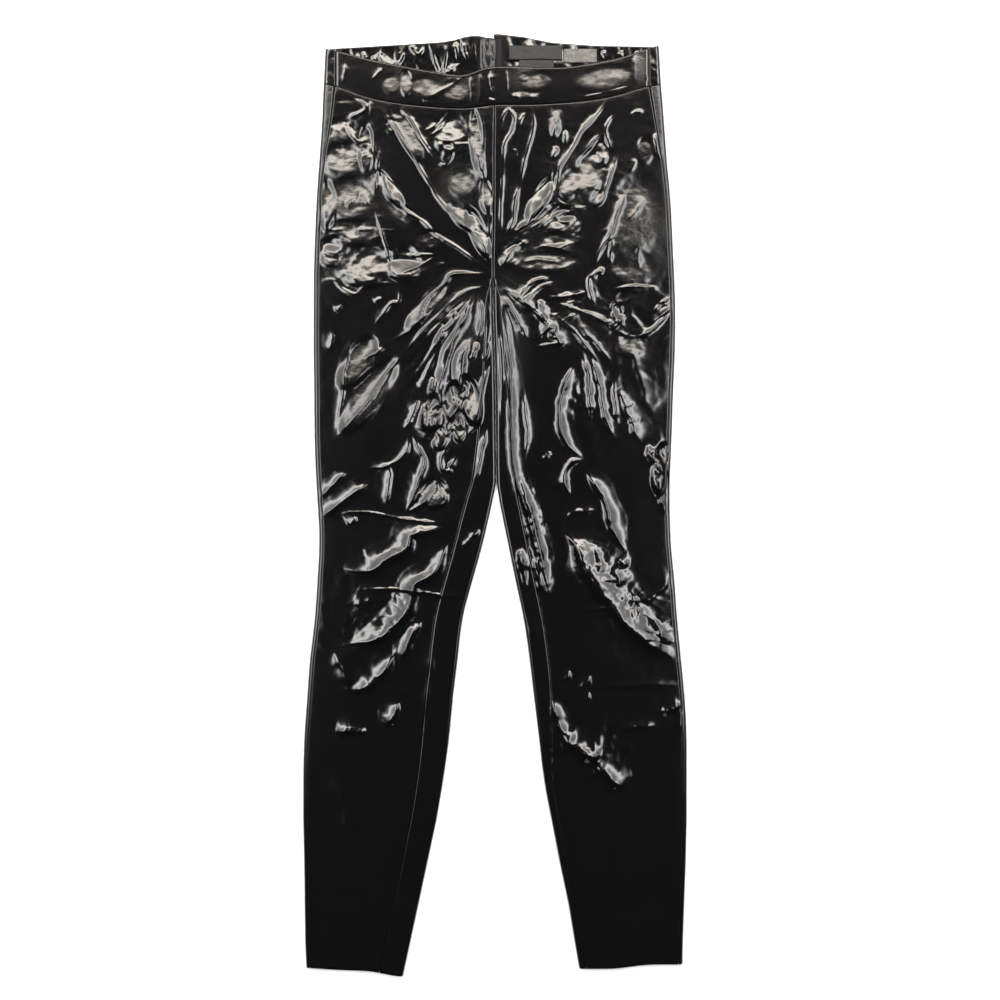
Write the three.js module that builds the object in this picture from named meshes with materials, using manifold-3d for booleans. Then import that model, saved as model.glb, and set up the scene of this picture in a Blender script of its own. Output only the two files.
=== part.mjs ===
// High-waisted patent leather trousers with skinny legs, laid flat on their back with the front up.
// Millimetres. +Z is up, +Y runs from the hems to the waist, and +X is the wearer's left leg.
// The origin is the middle of the rectangle that the trousers cover, on the surface they lie on.
// "Right" and "left" in names are the wearer's.
//
// Each cut piece is a thin wall. The back pieces lie on the surface, turn up round the two edges of
// each flattened leg, and meet the front pieces at an inseam and a side seam on the upper face.

import * as THREE from "three";
import Module from "manifold-3d";
import { mergeVertices } from "three/addons/utils/BufferGeometryUtils.js";

const wasm = await Module();
wasm.setup();

// Driving sizes
const WALL = 1.2; // coated leather of the panels
const BAND_WALL = 2.2; // front waistband, two layers with interfacing
const ELASTIC_WALL = 1.6; // back waistband over its elastic
const EDGE_RADIUS = 3; // outer radius of the fold along each edge of a flattened leg
const SEAM_GAP = 0.3; // between neighbouring pieces
const WAIST_SEAM_Y = 419; // front waist seam at its lowest
const SIDE_SEAM_X = { right: -168, left: 162 }; // on the upper face of the waistband
const CROTCH_Y = 237;
const HEM_Y = -483; // the hem before its own small slant
const PATENT = { color: 0x0b0b0c, roughness: 0.16, metalness: 0 };

// Sections of each leg, from the hem up: the outer edge, the inner edge, and how far the inseam and
// the side seam lie from those edges on the upper face. Above the crotch the inner edge is the middle
// of the body.
const SECTIONS = {
  right: [
    { y: -497, outer: -198, inner: -97, inseam: 26, sideSeam: 4.5 },
    { y: -456, outer: -200, inner: -88, inseam: 26.5, sideSeam: 4.5 },
    { y: -414, outer: -200.5, inner: -79, inseam: 26.5, sideSeam: 4.5 },
    { y: -372, outer: -201, inner: -70, inseam: 27, sideSeam: 4.5 },
    { y: -330, outer: -202, inner: -61, inseam: 27.5, sideSeam: 4.5 },
    { y: -288, outer: -202, inner: -54, inseam: 28, sideSeam: 4.5 },
    { y: -246, outer: -201, inner: -48, inseam: 29, sideSeam: 4.5 },
    { y: -204, outer: -198, inner: -44, inseam: 29.5, sideSeam: 4.5 },
    { y: -162, outer: -195, inner: -39, inseam: 29.5, sideSeam: 4.5 },
    { y: -120, outer: -190, inner: -34, inseam: 29.5, sideSeam: 4.5 },
    { y: -78, outer: -187, inner: -23, inseam: 29.5, sideSeam: 4.5 },
    { y: -36, outer: -185, inner: -11.5, inseam: 29.5, sideSeam: 4.5 },
    { y: 6, outer: -187, inner: -2, inseam: 28, sideSeam: 4.5 },
    { y: 21, outer: -188, inner: 1.5, inseam: 26, sideSeam: 4.5 },
    { y: 69, outer: -190, inner: 1, inseam: 19.5, sideSeam: 4.5 },
    { y: 116, outer: -190.5, inner: 0.5, inseam: 14.5, sideSeam: 4.5 },
    { y: 164, outer: -191, inner: -0.5, inseam: 10, sideSeam: 4.5 },
    { y: 195, outer: -191, inner: -1.5, inseam: 8, sideSeam: 4.5 },
    { y: 227, outer: -191, inner: -2, inseam: 5, sideSeam: 4.5 },
    { y: 237, outer: -191, inner: -2, inseam: 0, sideSeam: 4.5 },
    { y: 258, outer: -190.5, inner: -2, inseam: 0, sideSeam: 4.5 },
    { y: 321, outer: -188, inner: -1, inseam: 0, sideSeam: 4.5 },
    { y: 363, outer: -185, inner: -1, inseam: 0, sideSeam: 5 },
    { y: 405, outer: -182, inner: -0.5, inseam: 0, sideSeam: 9.5 },
    { y: 444, outer: -180.5, inner: -0.5, inseam: 0, sideSeam: 11 },
    { y: 497, outer: -178, inner: -0.5, inseam: 0, sideSeam: 11 },
  ],
  left: [
    { y: -497, outer: 197, inner: 90, inseam: 7.5, sideSeam: 4.5 },
    { y: -456, outer: 198, inner: 83, inseam: 7.5, sideSeam: 4.5 },
    { y: -414, outer: 199.5, inner: 76, inseam: 8, sideSeam: 4.5 },
    { y: -372, outer: 201, inner: 67, inseam: 8, sideSeam: 4.5 },
    { y: -330, outer: 202, inner: 59, inseam: 8.5, sideSeam: 4.5 },
    { y: -288, outer: 202, inner: 51, inseam: 9.5, sideSeam: 4.5 },
    { y: -246, outer: 202, inner: 46, inseam: 13, sideSeam: 4.5 },
    { y: -204, outer: 200, inner: 41, inseam: 18, sideSeam: 4.5 },
    { y: -162, outer: 196, inner: 36, inseam: 20, sideSeam: 4.5 },
    { y: -120, outer: 192, inner: 30, inseam: 20, sideSeam: 4.5 },
    { y: -78, outer: 189, inner: 21, inseam: 20, sideSeam: 4.5 },
    { y: -36, outer: 185, inner: 12.5, inseam: 20, sideSeam: 4.5 },
    { y: 6, outer: 184, inner: 4, inseam: 19.5, sideSeam: 4.5 },
    { y: 21, outer: 184, inner: 1.5, inseam: 19, sideSeam: 4.5 },
    { y: 69, outer: 186, inner: 1, inseam: 17.5, sideSeam: 4.5 },
    { y: 116, outer: 187.5, inner: 0.5, inseam: 13, sideSeam: 4.5 },
    { y: 164, outer: 189.5, inner: -0.5, inseam: 9, sideSeam: 4.5 },
    { y: 195, outer: 190, inner: -1.5, inseam: 7.5, sideSeam: 4.5 },
    { y: 227, outer: 189.5, inner: -2, inseam: 5, sideSeam: 4.5 },
    { y: 237, outer: 189, inner: -2, inseam: 0, sideSeam: 4.5 },
    { y: 258, outer: 188, inner: -2, inseam: 0, sideSeam: 4.5 },
    { y: 321, outer: 185, inner: -1, inseam: 0, sideSeam: 4.5 },
    { y: 363, outer: 181, inner: -1, inseam: 0, sideSeam: 5 },
    { y: 405, outer: 178, inner: -0.5, inseam: 0, sideSeam: 9.5 },
    { y: 444, outer: 175, inner: -0.5, inseam: 0, sideSeam: 12 },
    { y: 497, outer: 172, inner: -0.5, inseam: 0, sideSeam: 12 },
  ],
};

// Each hem, from the inner edge (0) to the outer edge (1)
const HEMS = {
  right: [
    { across: 0, y: -497 },
    { across: 0.1, y: -494 },
    { across: 0.27, y: -490 },
    { across: 0.58, y: -487 },
    { across: 0.77, y: -489 },
    { across: 1, y: -485 },
  ],
  left: [
    { across: 0, y: -485 },
    { across: 0.06, y: -487 },
    { across: 0.3, y: -487 },
    { across: 0.47, y: -484 },
    { across: 0.65, y: -482 },
    { across: 1, y: -482 },
  ],
};

// Rows of the panels, as y before the hem and the waist seam bend them
const ROWS = [
  -483, -458, -420, -375, -330, -300, -275, -250, -225, -200, -180, -160, -142, -124, -106, -88, -70,
  -52, -34, -16, 4, 24, 44, 64, 84, 104, 124, 143, 161, 178, 194, 208, 220, 230, 235, 237, 240, 246,
  258, 274, 292, 312, 332, 352, 372, 390, 405, 419,
];

// Waist, across the body: the seam and the top edge of the front waistband, and the top edge of the
// back waistband with the small notch above the zip
const WAIST = [
  { x: -178, frontSeam: 441, frontTop: 478.5, backTop: 481 },
  { x: -168, frontSeam: 441, frontTop: 478.5, backTop: 481.5 },
  { x: -142, frontSeam: 432, frontTop: 472, backTop: 483 },
  { x: -117, frontSeam: 426, frontTop: 466.5, backTop: 484.5 },
  { x: -91, frontSeam: 422, frontTop: 461.5, backTop: 486 },
  { x: -75, frontSeam: 420.5, frontTop: 458.5, backTop: 487 },
  { x: -58, frontSeam: 419, frontTop: 455.5, backTop: 488 },
  { x: -41, frontSeam: 418, frontTop: 453, backTop: 491 },
  { x: -30, frontSeam: 418, frontTop: 452.5, backTop: 494 },
  { x: -24, frontSeam: 418.5, frontTop: 454.5, backTop: 495 },
  { x: -14, frontSeam: 420, frontTop: 460, backTop: 495 },
  { x: -6, frontSeam: 421, frontTop: 461, backTop: 490 },
  { x: -4, frontSeam: 421.5, frontTop: 461.5, backTop: 490 },
  { x: 0, frontSeam: 422, frontTop: 461.5, backTop: 495 },
  { x: 8, frontSeam: 422, frontTop: 462, backTop: 497 },
  { x: 18, frontSeam: 422, frontTop: 462, backTop: 496 },
  { x: 36, frontSeam: 422, frontTop: 461.5, backTop: 494 },
  { x: 51, frontSeam: 422.5, frontTop: 461, backTop: 491 },
  { x: 67, frontSeam: 423.5, frontTop: 461, backTop: 488 },
  { x: 87, frontSeam: 425, frontTop: 463, backTop: 486.5 },
  { x: 110, frontSeam: 428, frontTop: 467, backTop: 485 },
  { x: 135, frontSeam: 433.5, frontTop: 472, backTop: 484 },
  { x: 162, frontSeam: 441, frontTop: 481, backTop: 483.5 },
  { x: 172, frontSeam: 441, frontTop: 481, backTop: 483 },
];

// Largest folds of the front: start, end, sideways bow, height (troughs are negative) and half width
const FOLDS = [
  // wearer's right hip
  { from: [-103, 412], to: [-5, 248], bow: -6, height: 5, width: 10 },
  { from: [-147, 378], to: [-6.5, 244], bow: -12, height: 4.5, width: 10 },
  { from: [-124, 332], to: [-101, 216], bow: -5, height: 3, width: 8 },
  { from: [-181, 223], to: [-82, 225], bow: -8, height: 3, width: 8 },
  { from: [-6.5, 232], to: [-141, 160], bow: 9, height: 5, width: 10 },
  { from: [-92, 161], to: [-170, 78], bow: 0, height: 5, width: 12 },
  // wearer's right inner thigh
  { from: [-10.5, 223], to: [-97, 52], bow: 5, height: 5, width: 10 },
  { from: [-97, 52], to: [-181, -8.5], bow: -6, height: 4, width: 9 },
  { from: [-7.5, 216], to: [-90, -4], bow: 9, height: 5.5, width: 10 },
  { from: [-5, 178], to: [-25, 25], bow: 5, height: 4, width: 8 },
  // wearer's right knee and calf
  { from: [-48, -17], to: [-160, -64], bow: 0, height: 5.5, width: 10 },
  { from: [-52, -34], to: [-101, -101], bow: -4, height: 6, width: 11 },
  { from: [-99, -97], to: [-158, -140], bow: 6, height: 6, width: 11 },
  { from: [-107, -153], to: [-151, -197], bow: 0, height: 3.5, width: 9 },
  // wearer's left hip
  { from: [118, 422], to: [19, 288], bow: -8, height: 5, width: 10 },
  { from: [141, 334], to: [101, 252], bow: -4, height: 4, width: 9 },
  { from: [46, 216], to: [181, 208], bow: -26, height: 5, width: 9 },
  { from: [2, 231], to: [134, 147], bow: 4, height: 4.5, width: 9 },
  // wearer's left inner thigh
  { from: [3, 218], to: [21, 48], bow: 6, height: 4, width: 8 },
  { from: [21, 48], to: [57, -97], bow: -6, height: 4.5, width: 9 },
  { from: [88, 149], to: [65, 97], bow: 0, height: 4.5, width: 9 },
  { from: [65, 97], to: [82, 12.5], bow: 14, height: 4.5, width: 9 },
  { from: [97, 174], to: [130, 101], bow: 4, height: 4, width: 9 },
  // wearer's left outer thigh
  { from: [132, 128], to: [158, 65], bow: 0, height: 4, width: 9 },
  { from: [99, 40], to: [141, -44], bow: 5, height: 4.5, width: 9 },
  // wearer's left knee and calf
  { from: [80, -19], to: [187, -155], bow: -9, height: 6.5, width: 12 },
  { from: [61, -202], to: [132, -292], bow: -6, height: 5.5, width: 10 },
  // the zip behind presses the middle of the front up into two ridges
  { from: [-9.5, 494], to: [-6.5, 252], bow: 0, height: 2.2, width: 8 },
  { from: [6.5, 494], to: [3, 258], bow: 0, height: 2.2, width: 8 },
];

const BACK_SEAM_Y = 452; // seam under the back waistband at the middle
const BACK_SEAM_DROP = 11; // how much lower it is at the side seams

// Elastic gathers of the back waistband
const GATHER_PITCH = 11.4;
const GATHER_HEIGHT = 1.9; // at the top edge, less at the seam
const GATHER_LOW_SHARE = 0.6;

// Zip in the middle of the back
const ZIP = {
  x: -5,
  bottomY: 300,
  topY: 484,
  rise: 1.6, // the panels beside it lie this far off the surface, over the pull tab
  riseReach: 26,
  opening: 3.6, // from the middle to the edge of each panel and waistband
  chainWidth: 4.4,
  chainZ: [2, 4],
  tapeWidth: 9,
  tapeZ: [3.4, 4.2],
  guardWidth: 15,
  guardZ: [4.5, 5.3],
  sliderLength: 9,
  sliderWidth: 6.4,
  sliderZ: [1.75, 3.1],
  hingeY: 4.2, // from the slider's lower end to the pull tab's hinge
  earX: [1.5, 2.2], // the two ears that hold the pull tab, either side of its middle
  earReach: 1,
  pullLength: 22,
  pullWidth: 4.4,
  pullHead: 2.4,
  pullHeadReach: 0.8,
  pullZ: [0.2, 1],
};

// Labels on the inside of the back waistband: their sides and their top
const LABELS = [
  { name: "label_main", x: [13.5, 60], top: 489, bottom: 472 },
  { name: "label_size", x: [25, 57], top: 471, bottom: null },
  { name: "label_care", x: [71, 107], top: 484, bottom: null },
];
const LABEL_WALL = 0.6;

const clamp = THREE.MathUtils.clamp;
const lerp = THREE.MathUtils.lerp;
const smoothstep = THREE.MathUtils.smoothstep;

// Value of a short table [[key, value], ...] at a key, along a smooth curve without overshoot
function at(table, key) {
  if (key <= table[0][0]) return table[0][1];
  const last = table.length - 1;
  if (key >= table[last][0]) return table[last][1];
  let i = 0;
  while (key > table[i + 1][0]) i++;
  const step = (k) => (table[k + 1][1] - table[k][1]) / (table[k + 1][0] - table[k][0]);
  const slope = (k) => {
    if (k === 0) return step(0);
    if (k === last) return step(last - 1);
    const [before, after] = [step(k - 1), step(k)];
    return before * after <= 0 ? 0 : (2 * before * after) / (before + after);
  };
  const span = table[i + 1][0] - table[i][0];
  const t = (key - table[i][0]) / span;
  const [a, b] = [table[i][1], table[i + 1][1]];
  return (
    (2 * t ** 3 - 3 * t ** 2 + 1) * a +
    (t ** 3 - 2 * t ** 2 + t) * span * slope(i) +
    (3 * t ** 2 - 2 * t ** 3) * b +
    (t ** 3 - t ** 2) * span * slope(i + 1)
  );
}

// One column of a table of rows, as [key, value] pairs
const column = (rows, key, value) => rows.map((row) => [row[key], row[value]]);

// The two sides of the body, with their curves
const SIDES = [
  { name: "right", direction: -1 },
  { name: "left", direction: 1 },
].map((side) => ({
  ...side,
  outer: column(SECTIONS[side.name], "y", "outer"),
  inner: column(SECTIONS[side.name], "y", "inner"),
  inseam: column(SECTIONS[side.name], "y", "inseam"),
  sideSeam: column(SECTIONS[side.name], "y", "sideSeam"),
  hem: column(HEMS[side.name], "across", "y"),
  sideSeamX: SIDE_SEAM_X[side.name],
}));
const FRONT_SEAM = column(WAIST, "x", "frontSeam");
const FRONT_TOP = column(WAIST, "x", "frontTop");
const BACK_TOP = column(WAIST, "x", "backTop");

// Each fold as a curved line of short steps, made once
const FOLD_STEPS = 10;
const foldLines = FOLDS.map(({ from, to, bow }) => {
  const start = new THREE.Vector2(...from);
  const end = new THREE.Vector2(...to);
  const along = end.clone().sub(start).normalize();
  const middle = start.clone().add(end).multiplyScalar(0.5);
  middle.add(new THREE.Vector2(-along.y, along.x).multiplyScalar(2 * bow));
  return new THREE.QuadraticBezierCurve(start, middle, end).getPoints(FOLD_STEPS);
});

// Height that the folds add to the front at a point
function foldHeight(x, y) {
  let sum = 0;
  FOLDS.forEach(({ height, width }, k) => {
    const line = foldLines[k];
    let nearest = Infinity;
    let place = 0;
    for (let i = 0; i < FOLD_STEPS; i++) {
      const [ax, ay] = [line[i].x, line[i].y];
      const [dx, dy] = [line[i + 1].x - ax, line[i + 1].y - ay];
      const t = clamp(((x - ax) * dx + (y - ay) * dy) / (dx * dx + dy * dy), 0, 1);
      const away = Math.hypot(x - ax - t * dx, y - ay - t * dy);
      if (away < nearest) {
        nearest = away;
        place = (i + t) / FOLD_STEPS;
      }
    }
    const taper = smoothstep(Math.min(place, 1 - place), -0.02, 0.22);
    sum += height * taper * Math.exp(-((nearest / width) ** 2));
  });
  return sum;
}

// Nearest point of the slit between the legs, which ends at the crotch, seen from a point
function fromSlit(side, x, y) {
  const dx = (x - at(side.inner, Math.min(y, CROTCH_Y))) * side.direction;
  const dy = Math.max(0, y - CROTCH_Y);
  return { away: Math.hypot(Math.max(dx, 0), dy), dx: Math.max(dx, 0), dy };
}

// Cosine and sine of the round edge where a point is so far from the edge of the cloth
function roundEdge(away) {
  const cosine = (EDGE_RADIUS - Math.min(Math.max(away, 0), EDGE_RADIUS)) / EDGE_RADIUS;
  return { cosine, sine: Math.sqrt(Math.max(0, 1 - cosine * cosine)) };
}

// How far the zip behind lifts what lies near it
function zipRise(x, y) {
  const across = 1 - smoothstep(Math.abs(x - ZIP.x), 5, ZIP.riseReach);
  return ZIP.rise * across * smoothstep(y, ZIP.bottomY - 32, ZIP.bottomY - 6);
}

// A point of the outer face with its outward normal. Upper faces look up and lower faces look down.
function facePoint(side, x, y, upper) {
  const slit = fromSlit(side, x, y);
  const edgeAway = (at(side.outer, y) - x) * side.direction;
  const inner = roundEdge(slit.away);
  const outer = roundEdge(edgeAway);
  const lift = EDGE_RADIUS * Math.min(inner.sine, outer.sine);
  const up = upper ? 1 : -1;
  const normal = new THREE.Vector3(0, 0, up);
  if (inner.cosine > 0 && slit.away > 0) {
    normal.set(
      (-side.direction * inner.cosine * slit.dx) / slit.away,
      (-inner.cosine * slit.dy) / slit.away,
      up * inner.sine,
    );
  } else if (inner.cosine > 0) {
    normal.set(-side.direction, 0, 0);
  }
  if (outer.cosine > 0) normal.set(side.direction * outer.cosine, 0, up * outer.sine);
  let z = EDGE_RADIUS + up * lift;
  if (upper) {
    const fade = smoothstep(Math.min(slit.away, edgeAway), EDGE_RADIUS + 1, 22);
    z += fade * foldHeight(x, y);
    const step = 1;
    normal.x -= (fade * (foldHeight(x + step, y) - foldHeight(x - step, y))) / (2 * step);
    normal.y -= (fade * (foldHeight(x, y + step) - foldHeight(x, y - step))) / (2 * step);
  } else {
    z += zipRise(x, y);
  }
  return { point: new THREE.Vector3(x, y, z), normal: normal.normalize() };
}

// y of the front waist seam, the top of the front waistband, and the seam under the back waistband
const frontSeam = (x) => at(FRONT_SEAM, x);
const frontBandTop = (x) => at(FRONT_TOP, x);
function backSeam(x) {
  return BACK_SEAM_Y - BACK_SEAM_DROP * (x / -SIDE_SEAM_X.right) ** 2;
}

// y of a point in a row of a panel: the lowest rows follow the hem, and the highest follow a seam
function rowY(side, row, x, top) {
  const [inner, outer] = [at(side.inner, row), at(side.outer, row)];
  const across = clamp((x - inner) / (outer - inner), 0, 1);
  const low = 1 - smoothstep(row, HEM_Y, HEM_Y + 90);
  const high = smoothstep(row, WAIST_SEAM_Y - 100, WAIST_SEAM_Y);
  return row + low * (at(side.hem, across) - HEM_Y) + high * (top - SEAM_GAP - WAIST_SEAM_Y);
}

// A closed wall: its outer face through rows of points, and its inner face one wall further in
function wallGeometry(rows, thickness) {
  const [high, wide] = [rows.length, rows[0].length];
  const positions = [];
  for (const inward of [0, thickness]) {
    for (const row of rows) {
      for (const { point, normal } of row) {
        positions.push(...point.clone().addScaledVector(normal, -inward).toArray());
      }
    }
  }
  const outer = (r, c) => r * wide + c;
  const inner = (r, c) => high * wide + r * wide + c;
  const index = [];
  const quad = (a, b, c, d) => index.push(a, b, c, a, c, d);
  for (let r = 0; r < high - 1; r++) {
    for (let c = 0; c < wide - 1; c++) {
      quad(outer(r, c), outer(r, c + 1), outer(r + 1, c + 1), outer(r + 1, c));
      quad(inner(r, c), inner(r + 1, c), inner(r + 1, c + 1), inner(r, c + 1));
    }
    quad(outer(r, 0), outer(r + 1, 0), inner(r + 1, 0), inner(r, 0));
    quad(outer(r, wide - 1), inner(r, wide - 1), inner(r + 1, wide - 1), outer(r + 1, wide - 1));
  }
  for (let c = 0; c < wide - 1; c++) {
    quad(outer(0, c), inner(0, c), inner(0, c + 1), outer(0, c + 1));
    quad(outer(high - 1, c), outer(high - 1, c + 1), inner(high - 1, c + 1), inner(high - 1, c));
  }
  const geometry = new THREE.BufferGeometry();
  geometry.setAttribute("position", new THREE.Float32BufferAttribute(positions, 3));
  geometry.setIndex(index);
  geometry.computeVertexNormals();
  return geometry;
}

// Rows of a face run so that the outer face looks outwards: each row goes towards +X on upper faces
const ordered = (rows, reverse) => (reverse ? rows.map((row) => [...row].reverse()) : rows);

// Places between two values, in so many steps, without the first
const steps = (from, to, count) =>
  Array.from({ length: count }, (_, i) => lerp(from, to, (i + 1) / count));

// Where a walk round the inner edge of a leg is: positive lengths lie on the lower face and negative
// ones on the upper face, both measured along the cloth from the middle of the fold. In a place, turn
// says how far round an outer edge the cloth has gone, from 0 underneath to 1 on top.
function roundInnerEdge(side, walk, y) {
  const length = Math.abs(walk);
  const arc = (Math.PI / 2) * EDGE_RADIUS;
  const folded =
    length < arc
      ? EDGE_RADIUS - EDGE_RADIUS * Math.cos(length / EDGE_RADIUS)
      : EDGE_RADIUS + length - arc;
  const closed = 1 - smoothstep(y, CROTCH_Y, CROTCH_Y + 8);
  const away = lerp(length, folded, closed) + SEAM_GAP / 2;
  return { x: at(side.inner, y) + side.direction * away, turn: walk < 0 ? 1 : 0 };
}

// Length along the cloth from the inner fold to the inseam, on the upper face
function inseamWalk(side, y) {
  if (y >= CROTCH_Y) return 0;
  return at(side.inseam, y) + (Math.PI / 2 - 1) * EDGE_RADIUS * smoothstep(CROTCH_Y - y, 0, 12);
}

// Places round the outer edge of a leg, from the lower face to the upper one
function roundOuterEdge(side, y) {
  const flatEnd = at(side.outer, y) - side.direction * EDGE_RADIUS;
  return [0.25, 0.5, 0.75, 1].map((turn) => ({
    x: flatEnd + side.direction * EDGE_RADIUS * Math.sin(Math.PI * turn),
    turn,
  }));
}

// The grid of a panel. A place across depends on y, and y on the place, so the two settle together.
function panelRows(side, placesAt, topAt) {
  return ROWS.map((row) =>
    placesAt(row).map((_, column) => {
      let y = row;
      let place = placesAt(y)[column];
      for (let round = 0; round < 4; round++) {
        y = rowY(side, row, place.x, topAt(place));
        place = placesAt(y)[column];
      }
      return facePoint(side, place.x, y, place.turn > 0.5);
    }),
  );
}

// Front panel of one leg, from the waist seam to the hem
function frontPanel(side) {
  const nearCount = 3;
  const farCount = 11;
  const placesAt = (y) => {
    const walk = inseamWalk(side, y) + SEAM_GAP / 2;
    const start = roundInnerEdge(side, -walk, y).x;
    const stop = at(side.outer, y) - side.direction * (at(side.sideSeam, y) + SEAM_GAP / 2);
    const even = (Math.abs(stop - start) * nearCount) / (nearCount + farCount);
    const near = lerp(even, 6, 1 - smoothstep(Math.abs(y - CROTCH_Y), 10, 60));
    const walks = [walk, ...steps(walk, walk + near, nearCount)];
    const places = walks.map((length) => roundInnerEdge(side, -length, y));
    const last = places[nearCount].x;
    return places.concat(steps(last, stop, farCount).map((x) => ({ x, turn: 1 })));
  };
  return ordered(panelRows(side, placesAt, ({ x }) => frontSeam(x)), side.direction < 0);
}

// Back panel of one leg: from the inseam round the inner edge, across the surface, and round the
// outer edge to the side seam
function backPanel(side) {
  const arcEnd = 5.2;
  const placesAt = (y) => {
    const seam = -inseamWalk(side, y) + (y < CROTCH_Y ? SEAM_GAP / 2 : 0);
    const onTop = Math.max(-arcEnd, seam + 1);
    const below = Math.max(arcEnd, onTop + 4);
    const walks = [seam, ...steps(seam, onTop, 2), ...steps(onTop, below, 5)];
    const places = walks.map((length) => roundInnerEdge(side, length, y));
    const beside = smoothstep(y, ZIP.bottomY - 60, ZIP.bottomY - 12);
    const opening = ZIP.opening * smoothstep(y, ZIP.bottomY - 12, ZIP.bottomY);
    const shift = beside * (ZIP.x - at(side.inner, y)) + side.direction * opening;
    places.forEach((place) => (place.x += shift));
    const outer = roundOuterEdge(side, y);
    const last = places[places.length - 1].x;
    const flatEnd = at(side.outer, y) - side.direction * EDGE_RADIUS;
    places.push(...steps(last, flatEnd, 3).map((x) => ({ x, turn: 0 })), ...outer);
    const seamX = at(side.outer, y) - side.direction * (at(side.sideSeam, y) - SEAM_GAP / 2);
    return places.concat({ x: seamX, turn: 1 });
  };
  const topAt = ({ x, turn }) => lerp(backSeam(x), frontSeam(x), turn);
  return ordered(panelRows(side, placesAt, topAt), side.direction > 0);
}

// Front waistband, with a few upright bends in its middle
const BAND_BENDS = [
  { x: -32, height: -1.1, width: 6 },
  { x: -14.5, height: 0.9, width: 6 },
  { x: 12.5, height: 1, width: 6 },
  { x: 65, height: -0.8, width: 22 },
  { x: -118, height: 0.9, width: 20 },
];
function frontBand() {
  const columns = 44;
  const xs = [SIDE_SEAM_X.right + SEAM_GAP / 2];
  xs.push(...steps(xs[0], SIDE_SEAM_X.left - SEAM_GAP / 2, columns));
  return [0, 0.12, 0.5, 0.88, 1].map((share) =>
    xs.map((x) => {
      const y = lerp(frontSeam(x), frontBandTop(x), share);
      const toEnd = Math.min(x - SIDE_SEAM_X.right, SIDE_SEAM_X.left - x);
      const fade = smoothstep(toEnd, 0, 24);
      const rib = (place) => {
        const zip = 2.4 * Math.exp(-(((place - ZIP.x - 2) / 15) ** 4));
        const bends = BAND_BENDS.map((b) => b.height * Math.exp(-(((place - b.x) / b.width) ** 2)));
        return fade * (zip + bends.reduce((a, b) => a + b, 0));
      };
      const crown = 0.7 * fade * (1 - (2 * share - 1) ** 2);
      const slope = (rib(x + 1) - rib(x - 1)) / 2;
      const z = 2 * EDGE_RADIUS + rib(x) + crown;
      return {
        point: new THREE.Vector3(x, y, z),
        normal: new THREE.Vector3(-slope, 0, 1).normalize(),
      };
    }),
  );
}

// Lower face of the back waistband: elastic gathers that flatten out beside the zip and at the sides
function gather(x, share) {
  const wave = (1 - Math.cos((2 * Math.PI * (x - ZIP.x)) / GATHER_PITCH)) / 2;
  const uneven = 0.78 + 0.22 * Math.sin(x * 0.11) * Math.cos(x * 0.047);
  const beside = smoothstep(Math.abs(x - ZIP.x), 12, 24);
  return GATHER_HEIGHT * lerp(GATHER_LOW_SHARE, 1, share) * wave * uneven * beside;
}
function backBandPoint(side, share, { x, turn }) {
  const seamY = lerp(backSeam(x), frontSeam(x), turn);
  const topY = lerp(at(BACK_TOP, x), frontBandTop(x), turn);
  const y = lerp(seamY, topY, share);
  const away = (at(side.outer, y) - x) * side.direction;
  const { cosine, sine } = roundEdge(away);
  const up = turn > 0.5 ? 1 : -1;
  const point = new THREE.Vector3(x, y, EDGE_RADIUS + up * EDGE_RADIUS * sine);
  const normal = new THREE.Vector3(side.direction * cosine, 0, up * sine);
  if (turn < 0.5) {
    const wave = (place) => smoothstep(away, EDGE_RADIUS, 14) * gather(place, share);
    point.z += wave(x) + zipRise(x, y);
    normal.x += wave(x + 0.5) - wave(x - 0.5);
  }
  return { point, normal: normal.normalize() };
}
function backBand(side) {
  const perGather = 4;
  const start = ZIP.x + side.direction * ZIP.opening;
  const placesAt = (y) => {
    const flatEnd = at(side.outer, y) - side.direction * EDGE_RADIUS;
    const span = Math.abs(at(side.outer, BACK_SEAM_Y) - start);
    const count = Math.round((span * perGather) / GATHER_PITCH);
    const lower = [start, ...steps(start, flatEnd, count)].map((x) => ({ x, turn: 0 }));
    const seam = { x: side.sideSeamX + side.direction * (SEAM_GAP / 2), turn: 1 };
    return [...lower, ...roundOuterEdge(side, y), seam];
  };
  const rows = [0, 0.4, 0.75, 1].map((share) => {
    const y = lerp(BACK_SEAM_Y - BACK_SEAM_DROP, at(BACK_TOP, side.sideSeamX), share);
    return placesAt(y).map((place) => backBandPoint(side, share, place));
  });
  return ordered(rows, side.direction > 0);
}

// A flat strip along Y between two heights
function strip(width, length, [low, high]) {
  const geometry = new THREE.BoxGeometry(width, length, high - low);
  return geometry.translate(0, 0, (low + high) / 2);
}

// A closed solid from a geometry, and a geometry from a solid
function toSolid(geometry) {
  geometry.deleteAttribute("normal");
  geometry.deleteAttribute("uv");
  const merged = mergeVertices(geometry, 1e-5);
  const vertProperties = new Float32Array(merged.attributes.position.array);
  const triVerts = new Uint32Array(merged.index.array);
  return new wasm.Manifold(new wasm.Mesh({ numProp: 3, vertProperties, triVerts }));
}
function toGeometry(solid) {
  const { vertProperties, triVerts } = solid.getMesh();
  const geometry = new THREE.BufferGeometry();
  geometry.setAttribute("position", new THREE.Float32BufferAttribute(vertProperties, 3));
  geometry.setIndex([...triVerts]);
  return geometry;
}

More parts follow.
